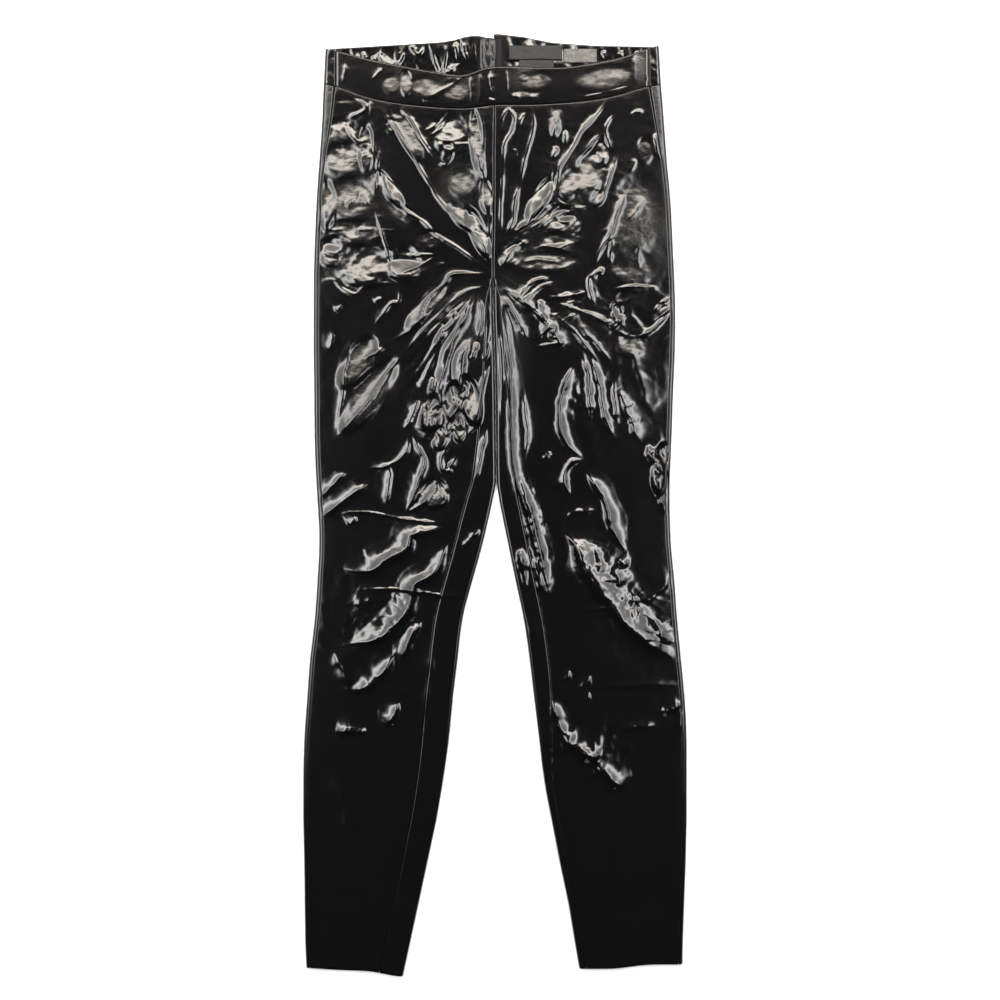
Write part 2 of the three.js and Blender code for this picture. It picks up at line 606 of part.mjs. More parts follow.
// Zip slider: a body that narrows downwards, with two ears under it that hold the pull tab
function sliderGeometry() {
  const half = ZIP.sliderWidth / 2;
  const [low, high] = ZIP.sliderZ;
  const shape = new THREE.Shape();
  shape.moveTo(-half * 0.72, 0);
  shape.lineTo(half * 0.72, 0);
  shape.lineTo(half, ZIP.sliderLength * 0.55);
  shape.quadraticCurveTo(half, ZIP.sliderLength, half * 0.35, ZIP.sliderLength);
  shape.lineTo(-half * 0.35, ZIP.sliderLength);
  shape.quadraticCurveTo(-half, ZIP.sliderLength, -half, ZIP.sliderLength * 0.55);
  shape.closePath();
  const settings = { depth: high - low, bevelEnabled: false, curveSegments: 4 };
  let solid = toSolid(new THREE.ExtrudeGeometry(shape, settings).translate(0, 0, low));
  const [near, far] = ZIP.earX;
  const overlap = 0.2; // the ears reach this far into the body
  const earHeight = low + overlap - ZIP.pullZ[0];
  for (const direction of [-1, 1]) {
    const ear = new THREE.BoxGeometry(far - near, 2 * ZIP.earReach, earHeight);
    const middle = ZIP.pullZ[0] + earHeight / 2;
    ear.translate((direction * (near + far)) / 2, ZIP.hingeY, middle);
    solid = solid.add(toSolid(ear));
  }
  return toGeometry(solid);
}

// Pull tab: a narrow head between the ears, and a blade with a rounded end and an eye
function pullGeometry() {
  const half = ZIP.pullWidth / 2;
  const head = ZIP.pullHead / 2;
  const neck = -ZIP.earReach - 0.8;
  const shape = new THREE.Shape();
  shape.moveTo(head, ZIP.pullHeadReach);
  shape.lineTo(-head, ZIP.pullHeadReach);
  shape.lineTo(-head, neck);
  shape.lineTo(-half, neck - 4);
  shape.absarc(0, -ZIP.pullLength + half, half, Math.PI, 2 * Math.PI, false);
  shape.lineTo(half, neck - 4);
  shape.lineTo(head, neck);
  shape.closePath();
  const eye = new THREE.Path();
  eye.absarc(0, -ZIP.pullLength + half, half * 0.42, 0, 2 * Math.PI, true);
  shape.holes.push(eye);
  const depth = ZIP.pullZ[1] - ZIP.pullZ[0];
  return new THREE.ExtrudeGeometry(shape, { depth, bevelEnabled: false, curveSegments: 6 });
}

// A label lies on the gathers, a little above the inner face of the back waistband
function labelRows({ x: [from, to], top, bottom }) {
  const xs = [from, ...steps(from, to, 8)];
  return [0, 0.5, 1].map((share) =>
    xs.map((x) => {
      const low = bottom ?? frontBandTop(x) + 2 * SEAM_GAP;
      const gathered = GATHER_HEIGHT * 0.95;
      const z = ELASTIC_WALL + gathered + zipRise(x, top) + SEAM_GAP + LABEL_WALL;
      return {
        point: new THREE.Vector3(x, lerp(low, top, share), z),
        normal: new THREE.Vector3(0, 0, 1),
      };
    }),
  );
}

const trousers = new THREE.Group();
function add(name, geometry, finish) {
  const mesh = new THREE.Mesh(geometry, new THREE.MeshStandardMaterial(finish));
  mesh.name = name;
  trousers.add(mesh);
  return mesh;
}

for (const side of SIDES) {
  add(`front_${side.name}`, wallGeometry(frontPanel(side), WALL), PATENT);
  add(`back_${side.name}`, wallGeometry(backPanel(side), WALL), PATENT);
  add(`waistband_back_${side.name}`, wallGeometry(backBand(side), ELASTIC_WALL), PATENT);
}
add("waistband_front", wallGeometry(frontBand(), BAND_WALL), PATENT);

const TAPE = { color: 0x26272a, roughness: 0.85, metalness: 0 };
const METAL = { color: 0x3a3a3d, roughness: 0.35, metalness: 1 };
const zipMiddle = (ZIP.topY + ZIP.bottomY) / 2;
const tapeLength = ZIP.topY - ZIP.bottomY + 10;
for (const [name, direction] of [["right", -1], ["left", 1]]) {
  const tape = add(`zip_tape_${name}`, strip(ZIP.tapeWidth, tapeLength, ZIP.tapeZ), TAPE);
  const offset = ZIP.chainWidth / 2 + SEAM_GAP + ZIP.tapeWidth / 2;
  tape.position.set(ZIP.x + direction * offset, zipMiddle + 2, 0);
}
const chainTop = ZIP.topY - ZIP.sliderLength - SEAM_GAP;
const chain = add("zip_chain", strip(ZIP.chainWidth, chainTop - ZIP.bottomY, ZIP.chainZ), METAL);
chain.position.set(ZIP.x, (chainTop + ZIP.bottomY) / 2, 0);
const guard = add("zip_guard", strip(ZIP.guardWidth, tapeLength, ZIP.guardZ), TAPE);
guard.position.set(ZIP.x - 3, zipMiddle + 2, 0);
const slider = add("zip_slider", sliderGeometry(), METAL);
slider.position.set(ZIP.x, ZIP.topY - ZIP.sliderLength, 0);
const pull = add("zip_pull", pullGeometry(), METAL);
pull.position.set(ZIP.x, ZIP.topY - ZIP.sliderLength + ZIP.hingeY, ZIP.pullZ[0]);

for (const label of LABELS) {
  const grey = label.name === "label_care";
  const finish = { color: grey ? 0xa9a8a4 : 0x1b1c1e, roughness: 0.7, metalness: 0 };
  add(label.name, wallGeometry(labelRows(label), LABEL_WALL), finish);
}

export default trousers;
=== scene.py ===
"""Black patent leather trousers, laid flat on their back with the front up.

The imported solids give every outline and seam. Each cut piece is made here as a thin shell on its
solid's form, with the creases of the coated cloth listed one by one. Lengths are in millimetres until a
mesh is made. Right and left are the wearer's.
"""

import math

import bpy
import numpy as np
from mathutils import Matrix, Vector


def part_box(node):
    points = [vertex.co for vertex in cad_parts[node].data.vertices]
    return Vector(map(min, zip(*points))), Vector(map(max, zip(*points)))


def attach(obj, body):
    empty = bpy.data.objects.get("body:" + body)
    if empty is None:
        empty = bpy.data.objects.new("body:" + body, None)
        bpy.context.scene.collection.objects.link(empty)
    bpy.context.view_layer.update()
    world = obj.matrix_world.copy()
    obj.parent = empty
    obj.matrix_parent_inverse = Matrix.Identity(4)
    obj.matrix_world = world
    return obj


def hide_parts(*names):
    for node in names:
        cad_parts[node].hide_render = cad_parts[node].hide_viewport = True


bl_info = {
    "name": "Patent leather trousers",
    "version": (1, 0, 0),
    "blender": (4, 5, 0),
    "location": "View3D > Sidebar > Trousers",
    "description": "Glossy coated-leather trousers laid flat, with zip, labels and studio",
    "category": "Object",
}

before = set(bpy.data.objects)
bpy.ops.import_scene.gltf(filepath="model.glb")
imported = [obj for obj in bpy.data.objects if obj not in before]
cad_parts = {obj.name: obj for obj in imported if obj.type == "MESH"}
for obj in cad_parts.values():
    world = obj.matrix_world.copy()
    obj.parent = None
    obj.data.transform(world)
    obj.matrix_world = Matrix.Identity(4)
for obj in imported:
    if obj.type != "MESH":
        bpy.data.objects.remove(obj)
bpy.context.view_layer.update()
CLOTH_BODY = "trousers"
MM = 0.001

# Creases are placed on a view from straight above, 1000 pixels square
PIXEL = 1.05  # millimetres on the cloth for one pixel
CENTRE_PX = (495, 506)  # where the frame's origin is in that view
MIDDLE_PX = 500  # the middle of the view, across and down

# The lamp over the table, in metres: a dark gap above the camera, with lit rims round it
CAMERA_HEIGHT = 1.9
PANEL_HEIGHT = 2.3
DARK_HALF = 0.75  # half width of the gap
DARK_TOP = 1.2  # how far the gap goes beyond the waist
PANEL_X = (-3.2, 3.2)
PANEL_Y = (-1.6, 4.0)
FLOOR_HALF = 4.0

# Sizes that the solids were made with
EDGE_RADIUS = 3.0
SEAM_GAP = 0.3
ZIP_X = -5.0
ZIP_BOTTOM = 300.0
BAND_FOOT = 438.0  # the back waistbands start here
CROTCH_Y = 237.0


# Settings


class TrousersCloth(bpy.types.PropertyGroup):
    """Sizes and colours of the coated cloth"""

    patent_colour: bpy.props.StringProperty(
        name="Patent colour", description="sRGB hex of the coating", default="#060607"
    )
    backing_colour: bpy.props.StringProperty(
        name="Backing colour", description="sRGB hex of the knitted backing", default="#17171a"
    )
    wall: bpy.props.FloatProperty(
        name="Wall", description="Thickness of a panel, in mm", default=0.9, min=0.4, max=1.2
    )
    band_wall: bpy.props.FloatProperty(
        name="Waistband wall", description="Thickness of the front waistband, in mm", default=2.1
    )
    elastic_wall: bpy.props.FloatProperty(
        name="Elastic wall", description="Thickness of the back waistband, in mm", default=1.5
    )
    crease_height: bpy.props.FloatProperty(
        name="Crease height", description="Share of the creases' listed height", default=1.0
    )
    crumple: bpy.props.FloatProperty(
        name="Crumple", description="Share of the small waves between creases", default=1.0
    )
    seed: bpy.props.IntProperty(name="Seed", description="Seed of the small waves", default=11)


class TrousersTrim(bpy.types.PropertyGroup):
    """Sizes and colours of the zip and the labels"""

    tape_colour: bpy.props.StringProperty(
        name="Tape colour", description="sRGB hex of the woven zip tape", default="#141517"
    )
    metal_colour: bpy.props.StringProperty(
        name="Slider colour", description="sRGB hex of the lacquered slider", default="#2a2a2c"
    )
    main_label_colour: bpy.props.StringProperty(
        name="Label colour", description="sRGB hex of the dark labels", default="#191a1c"
    )
    care_label_colour: bpy.props.StringProperty(
        name="Care label colour", description="sRGB hex of the pale label", default="#64625e"
    )
    thread_colour: bpy.props.StringProperty(
        name="Thread colour", description="sRGB hex of the sewing thread", default="#141416"
    )
    tooth_pitch: bpy.props.FloatProperty(
        name="Tooth pitch", description="Distance between coil teeth, in mm", default=1.3
    )
    stitch_length: bpy.props.FloatProperty(
        name="Stitch length", description="One stitch and its gap, in mm", default=2.6
    )


class TrousersStudio(bpy.types.PropertyGroup):
    """The floor, the light and the camera"""

    camera_height: bpy.props.FloatProperty(
        name="Camera height", description="Above the floor", default=CAMERA_HEIGHT, unit="LENGTH"
    )
    floor_colour: bpy.props.StringProperty(
        name="Floor colour", description="sRGB hex of the floor", default="#e9e9e9"
    )
    strip_strength: bpy.props.FloatProperty(
        name="Strip", description="Radiance of the bright strip", default=15.0
    )
    window_strength: bpy.props.FloatProperty(
        name="Window", description="Radiance of the window beside the strip", default=4.5
    )
    wall_strength: bpy.props.FloatProperty(
        name="Wall", description="Radiance of the lit wall beyond", default=1.7
    )
    card_strength: bpy.props.FloatProperty(
        name="Cards", description="Radiance of the cards on both sides", default=9.0
    )
    fill_strength: bpy.props.FloatProperty(
        name="Floor fill", description="Radiance of the light that only lights matt things", default=1.6
    )
    glow_strength: bpy.props.FloatProperty(
        name="Glow", description="Radiance of the dim glow inside the gap", default=1.5
    )
    room_strength: bpy.props.FloatProperty(
        name="Room", description="Radiance of the dim room", default=0.035
    )


# Small helpers


def clamp01(values):
    """Values held between 0 and 1."""
    return np.clip(values, 0.0, 1.0)


def smoothstep(values, low, high):
    """A soft rise from 0 at low to 1 at high."""
    t = clamp01((values - low) / (high - low))
    return t * t * (3 - 2 * t)


def mix(a, b, t):
    """Between a and b, by the share t of b."""
    return a + (b - a) * t


def in_mm(points):
    """Points of the view from above, as millimetres on the cloth."""
    points = np.asarray(points, float)
    x = (points[..., 0] - CENTRE_PX[0]) * PIXEL
    y = (CENTRE_PX[1] - points[..., 1]) * PIXEL
    return np.stack([x, y], axis=-1)


class Waves:
    """Smooth noise on a lattice: a value between about -1 and 1 at any point, the same every run."""

    def __init__(self, seed):
        rng = np.random.default_rng(seed)
        self.table = rng.permutation(512)
        angles = rng.uniform(0, 2 * math.pi, 512)
        self.slopes = np.stack([np.cos(angles), np.sin(angles)], axis=-1)

    def corner(self, ix, iy, fx, fy):
        pick = self.table[(self.table[ix & 511] + iy) & 511]
        slope = self.slopes[pick]
        return slope[..., 0] * fx + slope[..., 1] * fy

    def __call__(self, x, y):
        x, y = np.broadcast_arrays(x, y)
        ix, iy = np.floor(x).astype(int), np.floor(y).astype(int)
        fx, fy = x - ix, y - iy
        u = fx**3 * (fx * (fx * 6 - 15) + 10)
        v = fy**3 * (fy * (fy * 6 - 15) + 10)
        low = mix(self.corner(ix, iy, fx, fy), self.corner(ix + 1, iy, fx - 1, fy), u)
        high = mix(
            self.corner(ix, iy + 1, fx, fy - 1), self.corner(ix + 1, iy + 1, fx - 1, fy - 1), u
        )
        return 1.5 * mix(low, high, v)


# Outlines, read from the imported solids


def node_edges(name):
    """The two ends of every edge of a solid, in millimetres."""
    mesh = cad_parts[name].data
    co = np.empty(len(mesh.vertices) * 3)
    mesh.vertices.foreach_get("co", co)
    pairs = np.empty(len(mesh.edges) * 2, int)
    mesh.edges.foreach_get("vertices", pairs)
    points = co.reshape(-1, 3) / MM
    pairs = pairs.reshape(-1, 2)
    return points[pairs[:, 0]], points[pairs[:, 1]]


def spans(name, along, stations):
    """Lowest and highest place across a solid, where planes square to an axis cut it."""
    a, b = node_edges(name)
    across = 1 - along
    lows, highs = [], []
    for station in stations:
        side_a, side_b = a[:, along] - station, b[:, along] - station
        cut = (side_a * side_b <= 0) & (side_a != side_b)
        share = side_a[cut] / (side_a[cut] - side_b[cut])
        places = mix(a[cut, across], b[cut, across], share)
        lows.append(places.min() if len(places) else np.nan)
        highs.append(places.max() if len(places) else np.nan)
    return np.array(lows), np.array(highs)


class Line:
    """A smooth curve through measured stations, carried on straight past its two ends."""

    def __init__(self, stations, values, first, last, reach=8.0, straight=True):
        good = np.isfinite(values) & (stations >= first) & (stations <= last)
        s, v = stations[good], values[good]
        step = s[1] - s[0]
        count, half = 200, 30  # stations added at each end, and half the smoothing kernel
        ends = (v[3] - v[0]) / 3 * straight, (v[-1] - v[-4]) / 3 * straight
        before = v[0] - ends[0] * np.arange(count, 0, -1)
        after = v[-1] + ends[1] * np.arange(1, count + 1)
        padded = np.concatenate([before, v, after])
        offsets = np.arange(-half, half + 1)
        kernel = np.exp(-((offsets * step / reach) ** 2))
        smooth = np.convolve(padded, kernel / kernel.sum(), mode="same")
        keep = slice(2 * half, -2 * half)
        self.s = (s[0] + step * np.arange(-count, len(v) + count))[keep]
        self.v = smooth[keep]

    def __call__(self, at):
        return np.interp(at, self.s, self.v)


STEP = 3.0
ALONG_Y = np.arange(-498.0, 500.0, STEP)
ALONG_X = np.arange(-204.0, 205.0, STEP)


class Side:
    """One half of the garment: its curves, each a place across at a height along the leg."""

    def __init__(self, name, direction):
        self.name, self.direction = name, direction
        nodes = (f"front_{name}", f"back_{name}", f"waistband_back_{name}")
        # For each solid its outer and its inner outline
        front, back, band = (spans(node, 1, ALONG_Y)[::-direction] for node in nodes)
        outer = np.where(ALONG_Y < BAND_FOOT, back[0], band[0])
        self.outer = Line(ALONG_Y, outer, -480, 476)
        self.inner = Line(ALONG_Y, back[1], -480, 446, reach=4)
        self.side_seam = Line(ALONG_Y, front[0], -480, 416)
        self.inseam = Line(ALONG_Y, front[1], -480, 414, reach=4)
        hem = spans(f"back_{name}", 0, ALONG_X)[0]
        first, last = sorted((direction * 101.0, direction * 194.0))
        self.hem = Line(ALONG_X, hem, first, last, straight=False)


SIDES = [Side("right", -1), Side("left", 1)]
CROTCH_X = float(SIDES[0].inner(CROTCH_Y))
_band_low, _band_top = spans("waistband_front", 0, ALONG_X)
BAND_LOW = Line(ALONG_X, _band_low, -165, 159)
BAND_TOP = Line(ALONG_X, _band_top, -165, 159)
_right = spans("waistband_back_right", 0, ALONG_X)
_left = spans("waistband_back_left", 0, ALONG_X)
BACK_LOW = Line(ALONG_X, np.fmin(_right[0], _left[0]), -172, 167)
BACK_TOP = Line(ALONG_X, np.fmax(_right[1], _left[1]), -172, 167, reach=3)


# Creases of the front, each a line through points of the view from above, with its height and half
# width in millimetres. The flank that looks towards the waist is the one that shines.

HIP_RIGHT = [
    ([(352, 98), (365, 106), (360, 112), (348, 117), (344, 121)], 0.7, 1.4),
    ([(344, 121), (349, 130), (357, 140), (367, 139)], 0.6, 1.4),
    ([(370, 99), (370, 118)], 0.5, 1.4),
    ([(355, 128), (364, 124), (371, 126), (374, 134), (375, 150), (377, 162)], 0.7, 1.5),
    ([(360, 142), (362, 174)], 0.4, 1.3),
    ([(368, 141), (370, 172)], 0.4, 1.3),
    ([(362, 154), (369, 153)], 0.3, 1.2),
    ([(381, 146), (376, 168), (373, 198)], 0.9, 1.7),
    ([(373, 200), (378, 215), (384, 236), (390, 256), (394, 281)], 0.8, 1.6),
    ([(379, 107), (390, 119), (401, 135), (412, 152), (419, 164), (427, 178), (437, 195)], 1.1, 1.7),
    ([(431, 184), (437, 195), (455, 215), (472, 230), (485, 246), (489, 265)], 1.3, 2.2),
    ([(403, 112), (410, 116), (422, 137), (432, 152), (441, 163)], 0.9, 1.6),
    ([(436, 160), (443, 164), (449, 160), (453, 150)], 0.8, 1.5),
    ([(422, 132), (435, 124), (445, 113)], 0.6, 1.3),
    ([(428, 137), (440, 127), (450, 113)], 0.5, 1.3),
    ([(467, 127), (472, 140), (480, 160), (486, 186)], 0.8, 2.2),
    ([(473, 112), (474, 123)], 0.6, 1.6),
    ([(384, 170), (392, 190), (404, 207), (415, 216)], 1.6, 3.4),
    ([(404, 208), (425, 222), (437, 234), (460, 248), (475, 260), (489, 271)], 1.1, 1.7),
    ([(345, 206), (354, 197)], 0.9, 2.2),
    ([(360, 193), (366, 198), (371, 206)], 0.9, 2.2),
    ([(320, 228), (335, 229), (345, 228)], 0.35, 1.2),
    ([(356, 229), (374, 228)], 0.35, 1.2),
    ([(382, 229), (398, 230)], 0.3, 1.2),
    ([(400, 256), (420, 254), (437, 254)], 0.8, 1.4),
    ([(437, 255), (425, 262), (400, 273)], 0.8, 1.4),
    ([(436, 264), (447, 262)], 0.6, 1.6),
    ([(317, 281), (334, 279), (342, 287), (355, 293), (364, 286), (383, 282), (402, 285)], 1.0, 1.8),
    ([(399, 287), (398, 300), (389, 304), (373, 326)], 1.0, 2.0),
    ([(320, 250), (330, 262), (344, 268)], 0.6, 1.8),
    ([(334, 310), (342, 304)], 1.0, 2.4),
    ([(373, 301), (381, 296)], 0.9, 2.4),
]
CROTCH_RIGHT = [
    ([(490, 273), (454, 273), (444, 282), (427, 298), (417, 322), (400, 335), (384, 345)], 1.8, 2.2),
    ([(489, 285), (467, 290), (450, 302), (437, 315), (423, 329), (404, 352)], 1.5, 2.0),
    ([(404, 352), (386, 372), (366, 402), (336, 436)], 1.6, 2.4),
    ([(352, 337), (343, 370), (341, 395), (334, 434)], 1.0, 2.4),
    ([(386, 345), (372, 352), (361, 359)], 1.4, 3.4),
    ([(441, 322), (436, 346)], 1.6, 3.6),
    ([(453, 309), (450, 322)], 1.0, 3.0),
    ([(474, 292), (463, 315), (453, 330), (444, 361), (438, 381), (436, 398)], 2.4, 4.2),
    ([(473, 336), (463, 348), (459, 366), (458, 384), (452, 400)], 2.6, 4.6),
    ([(477, 341), (473, 350), (469, 361)], 1.8, 3.0),
    ([(478, 296), (480, 318), (477, 338)], 1.7, 2.6),
    ([(490, 337), (486, 350), (482, 361)], 2.1, 3.2),
    ([(491, 359), (482, 381), (479, 398), (478, 417), (473, 427), (464, 438)], 2.0, 2.4),
    ([(497, 337), (496, 361), (497, 384), (495, 420)], 1.4, 2.4),
    ([(487, 300), (489, 322), (486, 345)], 1.4, 2.2),
    ([(468, 300), (462, 316), (458, 330)], 1.3, 2.2),
    ([(462, 380), (463, 392), (460, 400)], 2.3, 4.0),
    ([(431, 376), (430, 385), (428, 396)], 2.6, 4.2),
    ([(424, 401), (421, 418), (423, 434)], 2.9, 4.6),
    ([(435, 410), (438, 424), (440, 440)], 2.3, 4.0),
    ([(460, 404), (453, 412), (446, 421)], 2.0, 3.0),
    ([(454, 425), (449, 430), (444, 435)], 1.6, 2.6),
    ([(460, 412), (463, 420), (464, 429)], 2.0, 3.2),
    ([(453, 443), (444, 457), (445, 469), (453, 466), (459, 454)], 1.6, 3.0),
    ([(418, 398), (407, 422), (402, 428)], 1.4, 3.0),
    ([(411, 434), (418, 451), (423, 461), (418, 475), (412, 494), (405, 512)], 1.9, 3.2),
    ([(437, 474), (430, 492), (420, 503), (405, 512)], 1.5, 2.4),
    ([(436, 476), (442, 488), (448, 502)], 1.0, 2.0),
    ([(486, 425), (480, 446), (476, 466), (471, 487)], 1.7, 3.4),
    ([(499, 403), (498, 420), (496, 434)], 1.2, 2.6),
    ([(408, 435), (405, 449), (392, 462), (369, 467)], 1.8, 3.0),
    ([(388, 464), (386, 486), (384, 506)], 1.6, 4.0),
    ([(372, 478), (345, 496), (317, 518)], 2.2, 3.6),
    ([(348, 468), (333, 482), (317, 498)], 1.8, 3.2),
    ([(334, 514), (364, 511), (405, 518), (449, 524)], 1.3, 2.0),
    ([(346, 524), (356, 515)], 1.4, 3.8),
    ([(332, 330), (328, 350)], 1.0, 3.0),
]
KNEE_RIGHT = [
    ([(448, 524), (410, 531), (402, 546), (381, 558), (368, 567), (343, 567)], 4.6, 6.2),
    ([(446, 540), (432, 568), (411, 583), (407, 598), (399, 614), (378, 634), (345, 643)], 5.4, 6.0),
    ([(353, 589), (397, 588), (441, 594), (470, 598)], 1.5, 2.0),
    ([(420, 619), (408, 635), (398, 663)], 3.0, 4.6),
    ([(394, 652), (377, 673), (352, 692)], 3.6, 5.4),
    ([(398, 701), (383, 727)], 2.8, 4.6),
    ([(326, 690), (380, 688), (430, 692)], 0.7, 2.0),
    ([(461, 546), (470, 536), (479, 527)], 1.9, 3.6),
    ([(335, 731), (350, 728), (368, 731)], 3.2, 4.0),
    ([(352, 604), (372, 596), (392, 596)], 1.5, 5.0),
    ([(336, 650), (348, 668), (350, 690)], 1.4, 7.0),
    ([(430, 640), (426, 680), (420, 720)], 0.9, 5.0),
]
HIP_LEFT = [
    ([(491, 112), (491, 150), (490, 172)], 0.5, 1.4),
    ([(490, 190), (489, 220), (487, 245)], 0.6, 1.5),
    ([(483, 112), (482, 160), (485, 220)], 0.7, 2.4),
    ([(500, 132), (504, 116), (510, 110), (515, 118), (512, 132), (505, 146), (504, 170)], 0.9, 1.6),
    ([(504, 165), (502, 207), (501, 236)], 0.9, 1.6),
    ([(517, 128), (521, 117), (526, 112)], 0.6, 1.4),
    ([(510, 150), (515, 149), (517, 156), (513, 161)], 0.5, 1.3),
    ([(532, 106), (532, 127), (526, 150), (521, 170), (518, 190)], 1.0, 2.4),
    ([(519, 184), (513, 200), (511, 220), (505, 234)], 1.5, 3.2),
    ([(556, 106), (554, 120), (551, 137)], 1.3, 4.0),
    ([(566, 130), (567, 146)], 1.0, 2.4),
    ([(557, 146), (550, 158)], 1.1, 2.4),
    ([(608, 99), (595, 115), (580, 131), (574, 143), (564, 158), (559, 166), (555, 193)], 1.1, 1.7),
    ([(550, 165), (547, 190), (537, 206), (525, 221), (507, 238)], 2.0, 4.2),
    ([(615, 113), (607, 127), (609, 142), (616, 153)], 0.8, 1.5),
    ([(618, 152), (611, 170), (607, 182), (602, 197), (595, 205), (580, 206)], 1.1, 1.8),
    ([(554, 195), (562, 202), (575, 207), (590, 206)], 0.9, 1.6),
    ([(580, 157), (588, 146), (595, 137), (602, 136)], 0.8, 1.6),
    ([(597, 150), (603, 158), (600, 166)], 0.7, 1.8),
    ([(507, 235), (520, 227), (537, 217), (550, 205), (562, 202)], 1.0, 1.6),
    ([(507, 240), (524, 231), (542, 220), (554, 209), (567, 206)], 0.9, 1.6),
    ([(574, 222), (573, 212), (562, 211), (546, 220), (530, 234)], 1.2, 2.4),
    ([(533, 250), (546, 245), (575, 251)], 0.9, 1.8),
    ([(500, 266), (512, 248), (530, 238)], 1.5, 3.4),
    ([(520, 262), (540, 258), (562, 262)], 0.7, 1.8),
    ([(629, 117), (635, 111), (645, 112)], 0.7, 1.5),
    ([(629, 172), (635, 157)], 0.7, 2.4),
    ([(655, 132), (659, 146), (662, 160)], 1.2, 2.6),
    ([(627, 187), (617, 207), (610, 230), (600, 246), (592, 266)], 1.7, 3.4),
    ([(645, 195), (636, 208), (625, 221)], 0.9, 3.0),
    ([(614, 236), (612, 264)], 1.5, 3.4),
    ([(640, 245), (641, 270)], 0.9, 3.2),
    ([(588, 277), (598, 270), (606, 267)], 1.3, 2.6),
    ([(590, 272), (591, 290), (596, 306)], 1.3, 2.6),
    ([(612, 288), (634, 285), (656, 286)], 1.2, 2.4),
    ([(515, 300), (532, 281), (552, 277)], 1.2, 2.0),
    ([(520, 306), (540, 286), (558, 281)], 1.0, 1.8),
    ([(545, 296), (567, 295), (588, 291)], 1.3, 2.4),
    ([(541, 298), (543, 312), (549, 320)], 1.4, 2.4),
    ([(557, 302), (582, 310), (605, 320), (617, 328)], 1.3, 2.0),
    ([(557, 315), (575, 330), (587, 345), (600, 362)], 1.3, 2.2),
    ([(575, 322), (595, 340), (612, 362)], 1.3, 2.2),
    ([(537, 342), (545, 328), (554, 327), (552, 335), (567, 337)], 1.4, 1.9),
    ([(536, 346), (550, 343), (568, 341)], 1.4, 1.9),
    ([(524, 325), (528, 338)], 1.0, 2.4),
    ([(613, 300), (616, 314), (626, 326)], 1.5, 3.0),
    ([(608, 326), (632, 335), (646, 332), (660, 320), (675, 306)], 1.4, 2.0),
    ([(650, 313), (662, 301), (673, 295)], 1.4, 2.0),
    ([(648, 322), (660, 311), (674, 302)], 1.1, 1.8),
]
THIGH_LEFT = [
    ([(504, 318), (511, 348), (514, 379), (515, 411), (517, 467), (532, 519), (546, 594)], 3.0, 4.0),
    ([(500, 330), (503, 376), (502, 425)], 1.4, 2.6),
    ([(522, 476), (534, 515), (543, 552), (551, 592)], 2.6, 4.0),
    ([(519, 548), (524, 566), (528, 590)], 1.6, 3.2),
    ([(655, 446), (664, 462), (673, 480)], 2.8, 5.5),
    ([(664, 440), (668, 452), (678, 462)], 1.6, 3.2),
    ([(524, 390), (530, 432), (526, 459)], 1.6, 3.2),
    ([(577, 362), (569, 383), (563, 410), (565, 432), (572, 446), (584, 457)], 3.2, 4.6),
    ([(584, 457), (570, 460), (561, 478), (570, 496)], 2.2, 3.6),
    ([(582, 352), (592, 376), (592, 421)], 2.2, 4.0),
    ([(589, 349), (602, 383), (606, 411), (616, 440)], 1.9, 3.5),
    ([(615, 376), (619, 425)], 1.5, 3.0),
    ([(622, 388), (633, 414), (643, 443)], 2.4, 6.0),
    ([(622, 406), (634, 402)], 0.8, 2.0),
    ([(627, 422), (640, 417)], 0.8, 2.0),
    ([(634, 348), (648, 380), (656, 416)], 1.8, 8),
    ([(648, 441), (658, 460), (673, 477)], 2.8, 4.6),
    ([(660, 487), (671, 517)], 2.2, 4.0),
    ([(542, 458), (550, 450)], 1.2, 2.8),
    ([(586, 469), (606, 495), (617, 532), (627, 550)], 3.4, 4.5),
    ([(564, 518), (575, 510), (595, 508)], 1.6, 3.2),
    ([(497, 284), (527, 300), (556, 330), (566, 352)], 2.2, 4.4),
    ([(498, 290), (516, 312), (526, 336)], 1.6, 3.2),
]
KNEE_LEFT = [
    ([(566, 528), (583, 546), (596, 567), (610, 589), (637, 624), (676, 656)], 8.4, 10.5),
    ([(596, 548), (603, 562), (600, 574)], 1.6, 3.4),
    ([(612, 566), (622, 578), (619, 590)], 1.6, 3.4),
    ([(632, 590), (642, 606), (640, 618)], 1.6, 3.4),
    ([(655, 618), (664, 634), (661, 644)], 1.4, 3.2),
    ([(618, 558), (630, 565)], 1.4, 3.4),
    ([(534, 556), (541, 574), (547, 596)], 2.4, 4.2),
    ([(522, 545), (527, 578)], 1.9, 3.6),
    ([(527, 614), (533, 640)], 1.6, 3.6),
    ([(578, 612), (598, 607), (616, 608)], 0.7, 2.2),
    ([(591, 696), (599, 688), (620, 685), (650, 683), (682, 684)], 1.7, 2.4),
    ([(563, 682), (568, 670)], 1.3, 3.2),
    ([(578, 689), (590, 675)], 1.4, 3.4),
    ([(582, 701), (589, 692)], 1.1, 2.8),
    ([(659, 711), (682, 703)], 2.4, 3.2),
    ([(554, 699), (560, 718), (566, 739)], 2.6, 3.8),
    ([(560, 724), (568, 733), (577, 738)], 1.6, 3.0),
    ([(557, 731), (575, 741), (590, 751), (604, 766)], 4.4, 6.2),
    ([(594, 763), (610, 771), (627, 789)], 4.6, 6.2),
    ([(582, 748), (594, 754), (600, 760)], 1.6, 3.2),
    ([(618, 730), (636, 725), (656, 725)], 2.0, 2.4),
    ([(684, 709), (683, 735)], 1.4, 3.2),
    ([(640, 600), (655, 590), (668, 572)], 1.4, 6.0),
]
